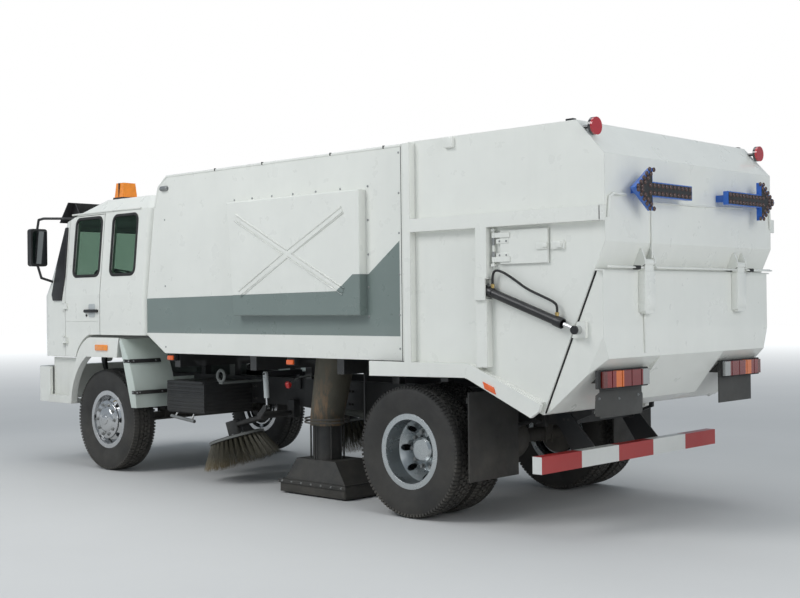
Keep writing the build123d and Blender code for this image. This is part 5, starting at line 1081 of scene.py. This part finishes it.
def make_hatch_details():
    """Hinge bars and latch of the small door on the left."""
    hinges = Piece("hatch_hinge_bars", "hopper", "steel", "grey_steel")
    for low, high in ((1.936, 1.990), (2.036, 2.090)):
        hinges.turned(at(-0.850, 1.196, low), UPWARD,
                      [(0, 0), (0, 0.012), (high - low, 0.012), (high - low, 0)], 12)
    hinges.done()
    bars = Piece("hatch_straps", "side_hatch", "white")
    for z in (1.963, 2.063):
        bars.prism(rounded(-0.985, -0.872, z - 0.017, z + 0.017, 0.006), "y", 1.187, 1.197)
    bars.done(soften=0.002)
    latch = Piece("hatch_latch", "side_hatch", "white")
    latch.prism(rounded(-1.316, -1.230, 1.992, 2.042, 0.008), "y", 1.186, 1.204)
    latch.prism(rounded(-1.326, -1.290, 2.004, 2.030, 0.006), "y", 1.196, 1.214)
    latch.done(soften=0.003)
    keeper = Piece("hatch_keeper", "hopper", "white")
    keeper.prism(rounded(-1.456, -1.345, 1.990, 2.045, 0.008), "y", 1.172, 1.190)
    keeper.prism(rounded(-1.440, -1.400, 1.998, 2.036, 0.006), "y", 1.186, 1.206)
    keeper.done(soften=0.003)
    BOLTS.place("hatch_strap_bolts", "side_hatch", "steel", "grey_steel",
                [(at(x, 1.197, z), OUTWARD[1], UPWARD) for x in (-0.965, -0.905) for z in (1.963, 2.063)],
                0.011, 0.005)


CYLINDER_TOP = at(-0.767, 0, 1.727)
CYLINDER_LOW = at(-1.568, 0, 1.440)


def make_gate_cylinder_details():
    for name, side in SIDES:
        discs = Piece(f"gate_cylinder_discs_{name}", "hopper", "white")
        centre = at(-0.743, 0, 1.735)
        discs.turned(centre + OUTWARD[side] * 1.170, OUTWARD[side],
                     [(0, 0.068), (0.010, 0.068), (0.012, 0.062),
                      (0.012, 0)], 28)
        discs.done(soften=0.001)
        BOLTS.place(f"gate_disc_bolts_{name}", "hopper", "steel", "grey_steel",
                    [(centre + OUTWARD[side] * 1.182 + spoke(pi / 6 + pi * k / 3) * 0.052, OUTWARD[side],
                      UPWARD)
                     for k in range(6)], 0.013, 0.007)
        body = f"gate_barrel_{name}_body"
        fittings = Piece(f"gate_cylinder_fittings_{name}", body, "brass", "grey_steel")
        for x, z, lift in ((-0.850, 1.722, 0.036), (-1.408, 1.522, 0.034)):
            foot = at(x, side * CYLINDER_SIDE, z)
            fittings.turned(foot, UPWARD,
                            [(0, 0.012), (lift * 0.6, 0.012), (lift * 0.6, 0.015), (lift, 0.015),
                             (lift + 0.004, 0.010), (lift + 0.004, 0)], 12)
        fittings.done()
        collars = Piece(f"gate_cylinder_collars_{name}", body, "barrel", "dark_steel")
        run = (CYLINDER_LOW - CYLINDER_TOP).normalized()
        for start, length, radius in ((0.045, 0.050, 0.0365), (0.660, 0.070, 0.0375)):
            collars.turned(CYLINDER_TOP + run * start + OUTWARD[side] * CYLINDER_SIDE, run,
                           [(0, 0.0305), (0, radius - 0.002), (0.002, radius), (length - 0.002, radius),
                            (length, radius - 0.002), (length, 0.0305)], 28, closed=True)
        collars.done(soften=0.001)
        ends = Piece(f"gate_rod_pin_{name}", f"gate_rod_{name}_body", "barrel", "dark_steel")
        ends.turned(CYLINDER_LOW + OUTWARD[side] * 1.2325, OUTWARD[side],
                    [(0, 0), (0, 0.030), (0.014, 0.030), (0.018, 0.026), (0.018, 0)], 28)
        ends.done(soften=0.001)


def make_hoses():
    for name, side in SIDES:
        body = f"gate_barrel_{name}_body"
        y = side * CYLINDER_SIDE
        route = [(-0.850, 1.752), (-0.846, 1.845), (-0.905, 1.862), (-1.030, 1.800), (-1.150, 1.722),
                 (-1.290, 1.668), (-1.395, 1.625), (-1.412, 1.590), (-1.408, 1.548)]
        points = [at(x, y, z) for x, z in route]
        hose(f"gate_cylinder_hose_{name}", body, points, PAINT["rubber"])


SEAL_TOP = (-1.694, 1.848)
SEAL_LOW = (-1.255, 0.850)


def on_seal(along, out):
    """A point of the tailgate's parting line, at a length down the line and a distance behind it."""
    dx, dz = SEAL_LOW[0] - SEAL_TOP[0], SEAL_LOW[1] - SEAL_TOP[1]
    size = hypot(dx, dz)
    dx, dz = dx / size, dz / size
    return SEAL_TOP[0] + dx * along + dz * out, SEAL_TOP[1] + dz * along - dx * out


def make_gate_seal():
    seal = Piece("tailgate_seal", "hopper", "rubber", "black_rubber")
    for _, side in SIDES:
        outline = [on_seal(0.012, 0.0005), on_seal(1.075, 0.0005), on_seal(1.075, 0.009),
                   on_seal(0.012, 0.009)]
        seal.prism(outline, "y", side * 1.118, side * 1.163)
    seal.prism([on_seal(1.045, 0.0005), on_seal(1.075, 0.0005), on_seal(1.075, 0.009), on_seal(1.045, 0.009)],
               "y", -1.118, 1.118)
    seal.done(soften=0.002)


def make_hopper_trim():
    ends = Piece("rail_end_plates", "hopper", "white")
    reflectors = Piece("skirt_reflectors", "hopper", "orange", "lamp_amber")
    for _, side in SIDES:
        ends.prism(rounded(side * 1.205 - 0.030, side * 1.205 + 0.030, 2.163, 2.267, 0.006), "x", -1.7765,
                   -1.768)
        slanted = [(-0.772, 1.068), (-0.872, 1.030), (-0.891, 0.979), (-0.791, 1.017)]
        reflectors.prism(slanted, "y", side * 1.2345, side * 1.2445)
    ends.done(soften=0.001)
    reflectors.done(soften=0.003)


# Back of the hopper and the tailgate

def make_rear_pipes():
    """White conduits of the lamps: the upper ones on the hopper, the lower ones on the tailgate."""
    upper = Piece("hopper_conduits", "hopper", "white")
    for side in (-1, 1):
        upper.pipe([at(-1.786, side * 1.152, 2.190), at(-1.788, side * 1.134, 2.325),
                    at(-1.788, side * 1.085, 2.346), at(-1.788, side * 0.935, 2.349)], 0.010, 10)
    upper.pipe([at(-1.783, 0.700, 2.338), at(-1.783, 0.648, 2.312), at(-1.783, 0.0, 2.318),
                at(-1.783, -0.705, 2.336)], 0.006, 8)
    upper.pipe([at(-1.784, 0.610, 2.312), at(-1.784, 0.610, 1.925)], 0.008, 8)
    upper.done()
    lower = Piece("tailgate_conduit", "tailgate", "white")
    lower.pipe([at(-1.752, 0.612, 1.772), at(-1.752, 0.612, 1.642), at(-1.752, 0.638, 1.572),
                at(-1.752, 0.666, 1.519), at(-1.752, 0.660, 1.400), at(-1.751, 0.655, 1.272)], 0.008, 8)
    lower.done()


def make_rear_details():
    ledge = Piece("hopper_rear_ledge", "hopper", "white")
    for low, high in ((-1.150, -0.740), (-0.570, 0.570), (0.740, 1.150)):
        ledge.prism([(-1.7765, 1.853), (-1.800, 1.853), (-1.800, 1.862), (-1.7765, 1.870)], "y", low, high)
    ledge.done(soften=0.001)
    stops = Piece("tailgate_rubber_stops", "hopper", "rubber", "black_rubber")
    for y in (-0.81, 0.81):
        stops.prism(rounded(y - 0.032, y + 0.032, 1.846, 1.872, 0.006), "x", -1.802, -1.774)
    stops.done(soften=0.003)
    sockets = Piece("hinge_sockets", "tailgate", "rubber", "black_rubber")
    covers = Piece("hinge_covers", "tailgate", "white")
    for _, side in SIDES:
        middle = side * 0.655
        covers.shell([[at(x, middle + half, z) for x, half, z in row] for row in (
            [(-1.789, -0.068, 1.560), (-1.789, 0.068, 1.560), (-1.745, 0.074, 1.548),
             (-1.745, -0.074, 1.548)],
            [(-1.797, -0.068, 1.600), (-1.797, 0.068, 1.600), (-1.745, 0.074, 1.600),
             (-1.745, -0.074, 1.600)],
            [(-1.797, -0.068, 1.835), (-1.797, 0.068, 1.835), (-1.745, 0.074, 1.835),
             (-1.745, -0.074, 1.835)])])
        for edge in (-1, 1):
            sockets.turned(at(-1.772, middle + edge * 0.0555, 1.895), OUTWARD[edge],
                           [(0, 0.026), (0.012, 0.026), (0.014, 0.020), (0.014, 0)], 18)
    covers.done(soften=0.004)
    sockets.done(soften=0.001)


ARROW_TAIL, ARROW_NECK, ARROW_TIP = 0.260, 0.780, 1.000
ARROW_MIDDLE = 2.385


def make_arrow_lamps():
    """Rows of small round lamps on dark faces: two along the shaft and two along each arm of the head."""
    faces = Piece("arrow_faces", "hopper", "plastic", "black_plastic")
    spots = []
    for _, side in SIDES:
        outline = [(ARROW_TAIL + 0.007, -0.043), (ARROW_NECK + 0.007, -0.043), (ARROW_NECK + 0.007, -0.126),
                   (ARROW_TIP - 0.013, 0.0), (ARROW_NECK + 0.007, 0.126), (ARROW_NECK + 0.007, 0.043),
                   (ARROW_TAIL + 0.007, 0.043)]
        faces.prism([(side * y, ARROW_MIDDLE + rise) for y, rise in outline], "x", -1.9020, -1.8995)
        for row in (-0.026, 0.026):
            spots += [(side * (ARROW_TAIL + 0.03 + 0.052 * k), ARROW_MIDDLE + row) for k in range(11)]
        for arm in (-1, 1):
            for row in (0.0, 0.052):
                spots += [(side * (0.962 - row - 0.036 * k), ARROW_MIDDLE + arm * (0.012 + 0.030 * k))
                          for k in range(5)]
    faces.done()
    places = [(at(-1.9018, y, z), REARWARD, UPWARD) for y, z in spots]
    DOMES.place("arrow_lamps", "hopper", "led", "lamp_red", places, 0.034, 0.010)


def make_tail_trim():
    plate = Piece("number_plate_bracket", "tailgate", "plate_grey", "dark_steel")
    outline = [(1.047, 1.026), (0.572, 1.016), (0.539, 0.978), (0.542, 0.862), (0.552, 0.845), (1.110, 0.855),
               (1.126, 0.872), (1.114, 0.996)]
    plate.prism(outline, "x", -1.652, -1.644)
    plate.done(soften=0.002)
    rims = Piece("tail_lamp_rims", "tailgate", "rubber", "black_rubber")
    for _, side in SIDES:
        outer = [(side * a, b) for a, b in rounded(0.527, 1.123, 1.037, 1.168, 0.014)]
        inner = [(side * a, b) for a, b in rounded(0.535, 1.115, 1.045, 1.160, 0.010)]
        rims.rim_between(outer, inner, lambda y, z, depth: at(depth, y, z), -1.690, -1.676)
    rims.done()
    BOLTS.place("plate_studs", "tailgate", "steel", "grey_steel",
                [(at(-1.652, y, z), REARWARD, UPWARD) for y,
                 z in ((0.841, 0.962), (0.600, 0.975), (1.080, 0.975))],
                0.014, 0.007)


# Side brushes

BRUSH_TILT = radians(16)
BRUSH_LEAN = radians(5)
TUFTS_ROUND = 34
STRANDS_IN_TUFT = 16


def brush_frame(side):
    """Centre of a brush's plate, the way its spindle points and two ways across it."""
    centre = at(2.600, side * 0.750, 0.420)
    spindle = Vector((sin(BRUSH_TILT) / cos(BRUSH_TILT), side * sin(BRUSH_LEAN) / cos(BRUSH_LEAN),
                      1)).normalized()
    ahead = (FORWARD - spindle * FORWARD.dot(spindle)).normalized()
    return centre, spindle, ahead, spindle.cross(ahead)


def make_brushes():
    for name, side in SIDES:
        centre, spindle, ahead, across = brush_frame(side)
        body = f"side_brush_{name}"
        plate = Piece(f"brush_plate_{name}", body, "chassis", "dark_steel")
        plate.turned(centre, spindle,
                     [(-0.030, 0), (-0.030, 0.252), (-0.022, 0.258), (-0.004, 0.258), (0.000, 0.250),
                      (0.000, 0.120), (0.006, 0.108), (0.006, 0.060), (0.012, 0.056), (0.012, 0)], 48)
        plate.done(soften=0.002)
        band = Piece(f"brush_plate_edge_{name}", body, "ring_grey", "grey_steel")
        band.turned(centre, spindle, [(-0.026, 0.2585), (-0.026, 0.261), (-0.006, 0.261), (-0.006, 0.2585)],
                    48, closed=True)
        band.done()
        places = []
        for row, (radius, splay) in enumerate(((0.240, 0.50), (0.195, 0.34), (0.150, 0.18))):
            tufts = TUFTS_ROUND - 7 * row
            for k in range(tufts):
                turn = 2 * pi * (k + 0.5 * row) / tufts
                away = ahead * cos(turn) + across * sin(turn)
                beside = spindle.cross(away)
                root = centre + away * radius - spindle * 0.029
                for j in range(STRANDS_IN_TUFT):
                    ring = 0.010 * sqrt((j + 0.5) / STRANDS_IN_TUFT)
                    swing = 2.4 * j
                    local = away * (ring * cos(swing)) + beside * (ring * sin(swing))
                    points = (-spindle + away * (splay + 8 * ring * cos(swing))
                              + beside * (8 * ring * sin(swing)))
                    places.append((root + local, points, away))
        STRANDS.place(f"brush_bristles_{name}", body, "bristle", "bristle", places, 0.0046, 0.258, 0.02,
                      unevenness=0.14, seed=3 + side, stands_for=[f"brush_{name}"])
        BOLTS.place(f"brush_plate_bolts_{name}", body, "steel", "grey_steel",
                    [(centre + (ahead * cos(pi * k / 3) + across * sin(pi * k / 3)) * 0.085 + spindle * 0.006,
                      spindle, ahead) for k in range(6)], 0.017, 0.010)


# Under the body

def make_suction_details():
    bands = Piece("suction_tube_bands", "chassis", "cast", "dark_steel")
    rods = Piece("nozzle_hanger_rods", "chassis", "chassis", "dark_steel")
    skirts = Piece("nozzle_rubber_skirts", "chassis", "rubber", "black_rubber")
    trays = Piece("nozzle_trays", "chassis", "chassis", "dark_steel")
    tray_bolts = []
    for _, side in SIDES:
        foot = at(1.400, side * 0.720, 0)
        for z in (0.612, 0.640):
            bands.turned(foot + UPWARD * z, UPWARD,
                         [(0, 0.1935), (0, 0.1975), (0.014, 0.1975), (0.014, 0.1935)], 40,
                         closed=True)
        for k in range(6):
            turn = pi / 6 + pi * k / 3
            stand = foot + spoke(turn).x * FORWARD * 0.148 + OUTWARD[1] * (sin(turn) * 0.148)
            rods.pipe([stand + UPWARD * 0.305, stand + UPWARD * 0.596], 0.008, 8)
        low, high = sorted((side * 0.430, side * 0.950))
        for x in (0.948, 1.752):
            skirts.box((x - 0.005, low, 0.012), (x + 0.005, high, 0.110))
        for y in (low, high):
            skirts.box((0.950, y - 0.005, 0.014), (1.750, y + 0.005, 0.112))
        outer = side * 0.958
        trays.box((0.930, min(outer, outer + side * 0.006), 0.088),
                  (1.770, max(outer, outer + side * 0.006), 0.122))
        tray_bolts += [(at(0.98 + 0.123 * k, outer + side * 0.006, 0.105), OUTWARD[side], UPWARD)
                       for k in range(7)]
    bands.done(soften=0.001)
    rods.done()
    skirts.done(soften=0.001)
    trays.done(soften=0.001)
    BOLTS.place("nozzle_tray_bolts", "chassis", "steel", "grey_steel", tray_bolts, 0.014, 0.008)


def make_underbody_details():
    """Carrier bar of the battery, cable ring, valve knob and the stay rods under the house."""
    bar = Piece("battery_carrier_bar", "chassis", "steel", "grey_steel")
    bar.pipe([at(3.264, 1.000, 0.588), at(2.906, 1.000, 0.552)], 0.016, 12)
    bar.pipe([at(3.200, 1.000, 0.585), at(3.200, 0.960, 0.640)], 0.010, 8)
    bar.pipe([at(2.950, 1.000, 0.556), at(2.950, 0.960, 0.640)], 0.010, 8)
    bar.done()
    ring = Piece("cable_ring", "chassis", "ring_grey", "grey_steel")
    circle = [at(2.632 + 0.052 * cos(2 * pi * k / 20), 0.900, 0.980 + 0.052 * sin(2 * pi * k / 20))
              for k in range(20)]
    ring.pipe(circle + circle[:2], 0.014, 8)
    ring.prism(rounded(2.606, 2.658, 0.905, 0.925, 0.004), "y", 0.428, 0.905)
    ring.done()
    knob = Piece("valve_knob", "chassis", "red_knob", "bar_red")
    knob.turned(at(1.815, 0.800, 0.922), (0.3, 1, -0.3),
                [(-0.030, 0), (-0.030, 0.014), (-0.012, 0.030), (0.006, 0.033),
                 (0.016, 0.026), (0.020, 0)], 18)
    knob.done()
    stem = Piece("valve_stem", "chassis", "steel", "grey_steel")
    stem.pipe([at(1.822, 0.775, 0.930), at(1.835, 0.640, 0.985), at(1.835, 0.428, 0.985)], 0.008, 8)
    stem.done()
    stay = Piece("house_stay_rods", "chassis", "chassis", "dark_steel")
    for _, side in SIDES:
        stay.pipe([at(0.855, side * 0.800, 1.170), at(0.855, side * 0.800, 0.640),
                   at(0.862, side * 0.760, 0.600), at(0.880, side * 0.425, 0.720)], 0.010, 8)
    stay.done()


def make_frame_bolts():
    """Bolt heads of the cross members and hangers on the outside of the rails."""
    places = []
    for _, side in SIDES:
        for x in (-0.92, -0.2, 0.97, 1.4, 2.7, 5.15):
            for dx in (-0.02, 0.02):
                for z in (0.745, 0.860):
                    places.append((at(x + dx, side * RAIL_SIDE, z), OUTWARD[side], UPWARD))
    BOLTS.place("frame_bolts", "chassis", "cast", "dark_steel", places, 0.020, 0.012)


def make_battery_details():
    """Ribbed battery cover on the left, tank straps and filler cap on the right."""
    cover = Piece("battery_cover_ribs", "chassis", "battery", "dark_steel")
    for k in range(7):
        z = 0.655 + 0.040 * k
        cover.prism(rounded(2.785, 3.305, z - 0.006, z + 0.006, 0.004), "y", 0.998, 1.004)
    cover.prism(rounded(2.772, 3.318, 0.902, 0.924, 0.008), "y", 0.960, 1.008)
    cover.done(soften=0.002)
    straps = Piece("tank_straps", "chassis", "steel", "grey_steel")
    for x in (2.900, 3.190):
        straps.box((x - 0.020, -1.006, 0.660), (x + 0.020, -0.999, 0.870))
    straps.turned(at(3.045, -0.780, 0.925), UPWARD, [(0, 0.052), (0.030, 0.052), (0.036, 0.044), (0.036, 0)],
                  24)
    straps.done(soften=0.001)


def make_spring_clips():
    """U-bolts that hold each leaf spring on its axle."""
    clips = Piece("spring_u_bolts", "chassis", "cast", "cast_axle")
    for x, y, low, high, wide in ((FRONT_AXLE, 0.400, 0.470, 0.665, 0.042),
                                  (0.0, 0.505, 0.425, 0.715, 0.042)):
        for _, side in SIDES:
            for dx in (-0.062, 0.062):
                legs = [at(x + dx, side * y - wide, low), at(x + dx, side * y - wide, high),
                        at(x + dx, side * y + wide, high), at(x + dx, side * y + wide, low)]
                clips.pipe(legs, 0.008, 8)
    clips.done()


# Seats

def cushion(piece, middle, size, crown, steps=10):
    """Closed crowned form: a box whose faces swell and whose edges are drawn round."""
    half = [s / 2 for s in size]
    made = bmesh.ops.create_cube(piece.mesh, size=2.0)
    fresh = made["verts"]
    edges = list({edge for v in fresh for edge in v.link_edges})
    bmesh.ops.subdivide_edges(piece.mesh, edges=edges, cuts=steps, use_grid_fill=True)
    for vertex in [v for v in piece.mesh.verts if v not in piece.kept]:
        x, y, z = vertex.co
        swell = [(1 - y * y) * (1 - z * z), (1 - x * x) * (1 - z * z), (1 - x * x) * (1 - y * y)]
        bent = []
        for value, reach, lift in zip((x, y, z), half, swell):
            rounder = value * (1 - 0.10 * abs(value) ** 6 * (1 - lift * 0.5))
            bent.append(rounder * reach + (value ** 3) * crown * lift)
        vertex.co = middle + Vector(bent)
        piece.kept.add(vertex)


def make_seats():
    """Two padded seats, each with a cushion, a back and a head rest, on plain pedestals."""
    stands = Piece("seat_pedestals", "cab", "plastic", "black_plastic")
    pads = []
    for name, side in SIDES:
        y = side * 0.520
        stands.prism(rounded(4.13, 4.57, y - 0.20, y + 0.20, 0.04), "z", 1.393, 1.605)
        for label, middle, size, crown in (("cushion", (4.350, y, 1.672), (0.50, 0.46, 0.135), 0.016),
                                           ("back", (4.092, y, 1.960), (0.115, 0.46, 0.53), 0.014),
                                           ("head_rest", (4.085, y, 2.252), (0.085, 0.27, 0.10), 0.010)):
            pad = Piece(f"seat_{label}_{name}", "cab", "cloth", "seat_fabric")
            pad.kept = set()
            cushion(pad, at(*middle), size, crown)
            pads.append(pad.done(smooth_angle=80, stands_for=["seats"] if not pads else ()))
    stands.done(soften=0.004)


# Stage and light

def make_stage():
    floor = bpy.data.meshes.new("yard_floor")
    floor.from_pydata([(-60, -60, 0), (60, -60, 0), (60, 60, 0), (-60, 60, 0)], [], [(0, 1, 2, 3)])
    ground = bpy.data.objects.new("yard_floor", floor)
    scene.collection.objects.link(ground)
    paint = bpy.data.materials.new("pale_floor")
    paint.use_nodes = True
    recipe = Recipe(paint.node_tree)
    place = recipe.add("ShaderNodeTexCoord").outputs["Object"]
    shade = recipe.mix(recipe.noise(place, 0.6, 4.0), (0.60, 0.60, 0.59, 1), (0.66, 0.66, 0.65, 1))
    surface = paint.node_tree.nodes["Principled BSDF"]
    paint.node_tree.links.new(shade, surface.inputs["Base Color"])
    surface.inputs["Roughness"].default_value = 0.85
    # Painted light on the far floor: it glows more with distance, where the lamps' light falls off, so that
    # it pales into the white backdrop
    away = recipe.add("ShaderNodeVectorMath", {0: place}, operation="LENGTH").outputs["Value"]
    surface.inputs["Emission Color"].default_value = (0.93, 0.93, 0.92, 1)
    paint.node_tree.links.new(recipe.spread(away, 7.0, 36.0, 0.0, 0.85), surface.inputs["Emission Strength"])
    floor.materials.append(paint)
    for name, place, aim, size, power in (
            ("key_light", (2.0, 9.0, 9.0), (0.0, 0.0, 1.0), 6.0, 560.0),
            ("sky_light", (-1.0, -1.0, 12.0), (0.0, 0.0, 0.0), 10.0, 420.0),
            ("rear_light", (-12.0, 3.0, 5.0), (-2.0, 0.0, 1.2), 6.0, 300.0)):
        light = bpy.data.lights.new(name, "AREA")
        light.shape, light.size, light.energy = "DISK", size, power
        lamp = bpy.data.objects.new(name, light)
        lamp.location = place
        lamp.rotation_euler = (Vector(aim) - Vector(place)).to_track_quat("-Z", "Y").to_euler()
        scene.collection.objects.link(lamp)


def make_backdrop():
    """White behind the truck and in its glass, soft grey daylight for its shading."""
    world = bpy.data.worlds.new("white_backdrop")
    scene.world = world
    world.use_nodes = True
    world.node_tree.nodes.clear()
    recipe = Recipe(world.node_tree)
    path = recipe.add("ShaderNodeLightPath").outputs
    seen = recipe.math("MAXIMUM", path["Is Camera Ray"], path["Is Transmission Ray"])
    soft = recipe.add("ShaderNodeBackground", {"Color": (0.80, 0.90, 1.0, 1), "Strength": 0.42})
    white = recipe.add("ShaderNodeBackground", {"Color": (1, 1, 1, 1), "Strength": 1.0})
    both = recipe.add("ShaderNodeMixShader", {0: seen, 1: soft.outputs[0], 2: white.outputs[0]})
    world.node_tree.links.new(both.outputs[0], recipe.add("ShaderNodeOutputWorld").inputs[0])
    scene.view_settings.view_transform = "Standard"


make_hoses()
make_tyres()
make_wheel_details()
make_cab_rubber()
make_cab_trim()
make_door_trim()
make_mirror_glass()
make_beacons()
make_house_details()
make_rib_beads()
make_roof_edge_box()
make_hatch_details()
make_gate_cylinder_details()
make_gate_seal()
make_hopper_trim()
make_rear_pipes()
make_rear_details()
make_arrow_lamps()
make_tail_trim()
make_brushes()
make_suction_details()
make_underbody_details()
make_frame_bolts()
make_battery_details()
make_spring_clips()
make_seats()
make_stage()
make_backdrop()
